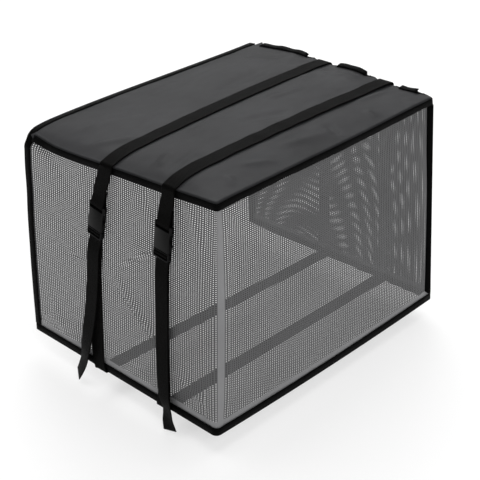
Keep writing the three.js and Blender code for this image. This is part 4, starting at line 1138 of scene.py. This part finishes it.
# %% Place a buckle on its wall
BUCKLE_LENGTH, BUCKLE_SUNK, HALF_BELT = 57, 0.5, WEBBING_WIDTH / 2
BAR_RADIUS, EDGE_TURN, EDGE_OUT, HEM_TURN, HEM_OUT, UNDER_RUN = 3.2, 7, 3.4, 3, 2, 2
BELT_STRAY, BELT_ROLL = 1.9, 0.09


def plain_wall(x, y, depth, out=0.0):
    return WallLine(x, y, 0, 0, free=False).at(depth, 0) + Vector((math.copysign(out, x), 0, 0))


def buckle_frame(belt):
    """Where a buckle starts on the wall, and the ways down the belt, off the wall and across."""
    at = plain_wall(-HALF_W, belt_row(belt, belt["buckle"]), belt["buckle"])
    low = belt["buckle"] + BUCKLE_LENGTH
    q = (plain_wall(-HALF_W, belt_row(belt, low), low) - at).normalized()
    at = at + Vector((BUCKLE_SUNK, 0, 0))
    n = (LEFT - q * LEFT.dot(q)).normalized()
    return at, q, n, n.cross(q)


def turned_at(q, n, angle):
    return q + BAR_RADIUS * math.cos(angle), n + BAR_RADIUS * math.sin(angle)


# distances down the belt and off the wall
SEWN_LOOP = ([(-24, 1.5), (-8, 1.3)] + [turned_at(3, 4.4, a) for a in spread(-math.pi / 2, math.pi / 2, 6)]
             + [(-5, 6.2), (-14, 4.6), (-24, 4.2)])
SLIDER = ([(70, 1.2), (56, 1.1), (48.6, 1.1), (46.9, 2.3)]
          + [turned_at(49.5, 5, a) for a in spread(math.pi, 0, 6)] + [(53.7, 3.5), (56.2, 3.05), (63, 3.1)])


# %% Trace a belt's route
def belt_rest(belt, x):
    """The belt's row at x, and a height clear of the top across its whole width."""
    y = lerp(*belt["top"], (x + HALF_W) / WIDTH)
    highest = max(panel_height(x, y + o) for o in spread(-HALF_BELT, HALF_BELT, 6))
    return y, highest + 0.5 + WEBBING / 2


def quarter(x, z, radius, low, high, y, side):
    return [(Vector((x + side * radius * math.cos(a), y, z + radius * math.sin(a))), None, 0)
            for a in spread(low, high, 6)]


def belt_path(belt):
    """The route as (place, way across or None, twist), from the socket round to the loose end."""
    at, q, n, b = buckle_frame(belt)
    sewn = [(at + q * a + n * h, -b, 0) for a, h in SEWN_LOOP]
    slide = [(at + q * a + n * h, -b, 0) for a, h in SLIDER]

    def left_side(depth, out):
        return (plain_wall(-HALF_W, belt_row(belt, depth), depth, out), None, 0)

    def edge_turn(side, y, low, high):
        x = side * (HALF_W - EDGE_TURN + EDGE_OUT)
        z = belt_rest(belt, x)[1] - EDGE_TURN
        return quarter(x + shift(x, y, TOP_X), z, EDGE_TURN, low, high, y, side)

    over, seed = [], belt["buckle"]
    for x in [panel_x(f, 0) for f in spread(0.025, 0.975, 40)]:
        y, z = belt_rest(belt, x)
        stray = BELT_STRAY * noise.noise(Vector((x / 48, seed, 0))) * ease(0, 40, HALF_W - abs(x))
        roll = BELT_ROLL * noise.noise(Vector((x / 30, seed, 9))) * ease(0, 40, HALF_W - abs(x))
        over.append((Vector((x + shift(x, y, TOP_X), y + stray, z + 0.5)), None, roll))
    right_y, hem_y = belt["top"][1], belt_row(belt, HEIGHT)
    wall = WallLine(HALF_W, right_y, 0, 0, free=False)
    down = [(wall.at(k * wall.tall, 0) + RIGHT * lerp(EDGE_OUT, HEM_OUT, k), None, 0)
            for k in (0.12, 0.35, 0.6, 0.85)]

    def hem_turn(side, y, low, high):
        line = WallLine(side * HALF_W, y, 0, 0, free=False)
        lowest = min(hem_level(side * HALF_W, y + reach) for reach in (-HALF_BELT, HALF_BELT))
        x = line.at(line.tall, 0).x + side * (HEM_OUT - HEM_TURN)
        return quarter(x, lowest - UNDER_RUN + HEM_TURN, HEM_TURN, low, high, y, side)

    under_right = hem_turn(1, right_y, 0, -math.pi / 2)
    under_left = hem_turn(-1, hem_y, -math.pi / 2, 0)
    under = [(under_right[-1][0].lerp(under_left[0][0], k), None, 0) for k in spread(0.1, 0.9, 8)]
    climb = [left_side(k * HEIGHT, lerp(1.2, HEM_OUT, k)) for k in (0.93, 0.8, 0.65, 0.5)]
    tail = []
    for z, y, out, twist in belt["tail"]:
        hang = plain_wall(-HALF_W, y, -z - CROWN)
        tail.append((Vector((hang.x - out, y, z - CROWN)), None, twist))
    return (sewn + [left_side(20, EDGE_OUT), left_side(12, EDGE_OUT)]
            + edge_turn(-1, belt["top"][0], 0, 1.35) + over + edge_turn(1, right_y, 1.45, 0) + down
            + under_right + under + under_left + climb + slide + tail)


print("front belt's route has", len(belt_path(BELTS["front"])), "points")

# %% Smooth the route
def smooth_route(path, step=4.0):
    """A curve through the route's points, with extra points where they are far apart."""
    result, last = [], len(path) - 1
    for i in range(last):
        p0, p1, p2, p3 = (path[min(last, max(0, i + k))][0] for k in (-1, 0, 1, 2))
        span = (p2 - p1).length
        before, after = max(1e-6, (p1 - p0).length), max(1e-6, (p3 - p2).length)
        m1 = (p2 - p0) / (before + span) * span if i else (p2 - p1)
        m2 = (p3 - p1) / (span + after) * span if i < last - 1 else (p2 - p1)
        pieces = max(1, round(span / step))
        for k in range(pieces):
            t = k / pieces
            t2, t3 = t * t, t * t * t
            at = (p1 * (2 * t3 - 3 * t2 + 1) + m1 * (t3 - 2 * t2 + t)
                  + p2 * (3 * t2 - 2 * t3) + m2 * (t3 - t2))
            side = path[i][1] if t < 0.5 or path[i + 1][1] is None else path[i + 1][1]
            result.append((at, side, lerp(path[i][2], path[i + 1][2], t)))
    return result + [path[-1]]


# %% Sweep the webbing
def webbing_stations(path):
    """Carry the webbing's width along the route; it turns only gently towards where it should lie."""
    stations, across, last = [], Vector((0, 1, 0)), len(path) - 1
    for i, (at, side, twist) in enumerate(path):
        ahead = (path[min(last, i + 1)][0] - path[max(0, i - 1)][0]).normalized()
        level = (side if side is not None else Vector((0, 1, 0))).copy()
        level = (level - ahead * level.dot(ahead)).normalized()
        across = (across - ahead * across.dot(ahead)).normalized()
        across = across.lerp(level, 0.75 if side is not None else 0.3).normalized()
        turned = Matrix.Rotation(twist, 3, ahead) @ across
        stations.append((at, turned, turned.cross(ahead).normalized()))
    return stations


def webbing_outline():
    w, h = HALF_BELT, 0.75
    face = [(x, h) for x in spread(-w + 2, w - 2, 8)]
    half = [(-w, 0.25), (-w + 0.5, h)] + face + [(w - 0.5, h), (w, 0.25)]
    return half + [(x, -y) for x, y in reversed(half)]


print("webbing's outline has", len(webbing_outline()), "points")

# %% Lay both belts
for label, belt in BELTS.items():
    route = smooth_route(belt_path(belt))
    points, faces, cuts = strip_solid(webbing_outline(), webbing_stations(route))
    piece = link_piece(f"belt_{label}", points, faces, cuts, webbing, [f"strap_{label}"])
    fix_normals(piece)

# %% [markdown]
# ## Buckles
# A side-release buckle has a socket and a plug with two springy prongs. We could model them anew,
# but the solids already have their slots, windows and prongs. So we copy them, merge their flat
# faces and round every edge with a bevel, as the steel mould does.

# %% Round the moulded edges
MOULD_ROUND, SHARP_ANGLE, FLAT_ANGLE = 0.0005, math.radians(35), math.radians(2)


def moulded(node, name):
    shape = bmesh.new()
    shape.from_mesh(bpy.data.objects[node].data)
    bmesh.ops.remove_doubles(shape, verts=shape.verts, dist=1e-6)
    bmesh.ops.dissolve_limit(shape, angle_limit=FLAT_ANGLE, verts=shape.verts, edges=shape.edges)
    bmesh.ops.recalc_face_normals(shape, faces=shape.faces)
    mesh = bpy.data.meshes.new(name)
    shape.to_mesh(mesh)
    shape.free()
    piece = bpy.data.objects.new(name, mesh)
    bpy.context.scene.collection.objects.link(piece)
    mesh.materials.append(buckle_plastic)
    mesh.polygons.foreach_set("use_smooth", [True] * len(mesh.polygons))
    bevel = piece.modifiers.new("moulded edge", "BEVEL")
    bevel.width, bevel.segments, bevel.limit_method = MOULD_ROUND, 2, "ANGLE"
    bevel.angle_limit, bevel.harden_normals = SHARP_ANGLE, True
    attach(piece, "root")
    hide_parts(node)
    print(name, len(mesh.polygons), "faces")


for label in BELTS:
    for half, word in (("female", "socket"), ("male", "plug")):
        moulded(f"buckle_{label}_{half}", f"buckle_{label}_{word}")

# %% [markdown]
# The top is a rectangle with its turned edge, the walls are two lengths of net, and each tape is a
# narrow strip folded in half.

# %% The cut cloth
print("the top is one sheet and the walls two lengths of net")
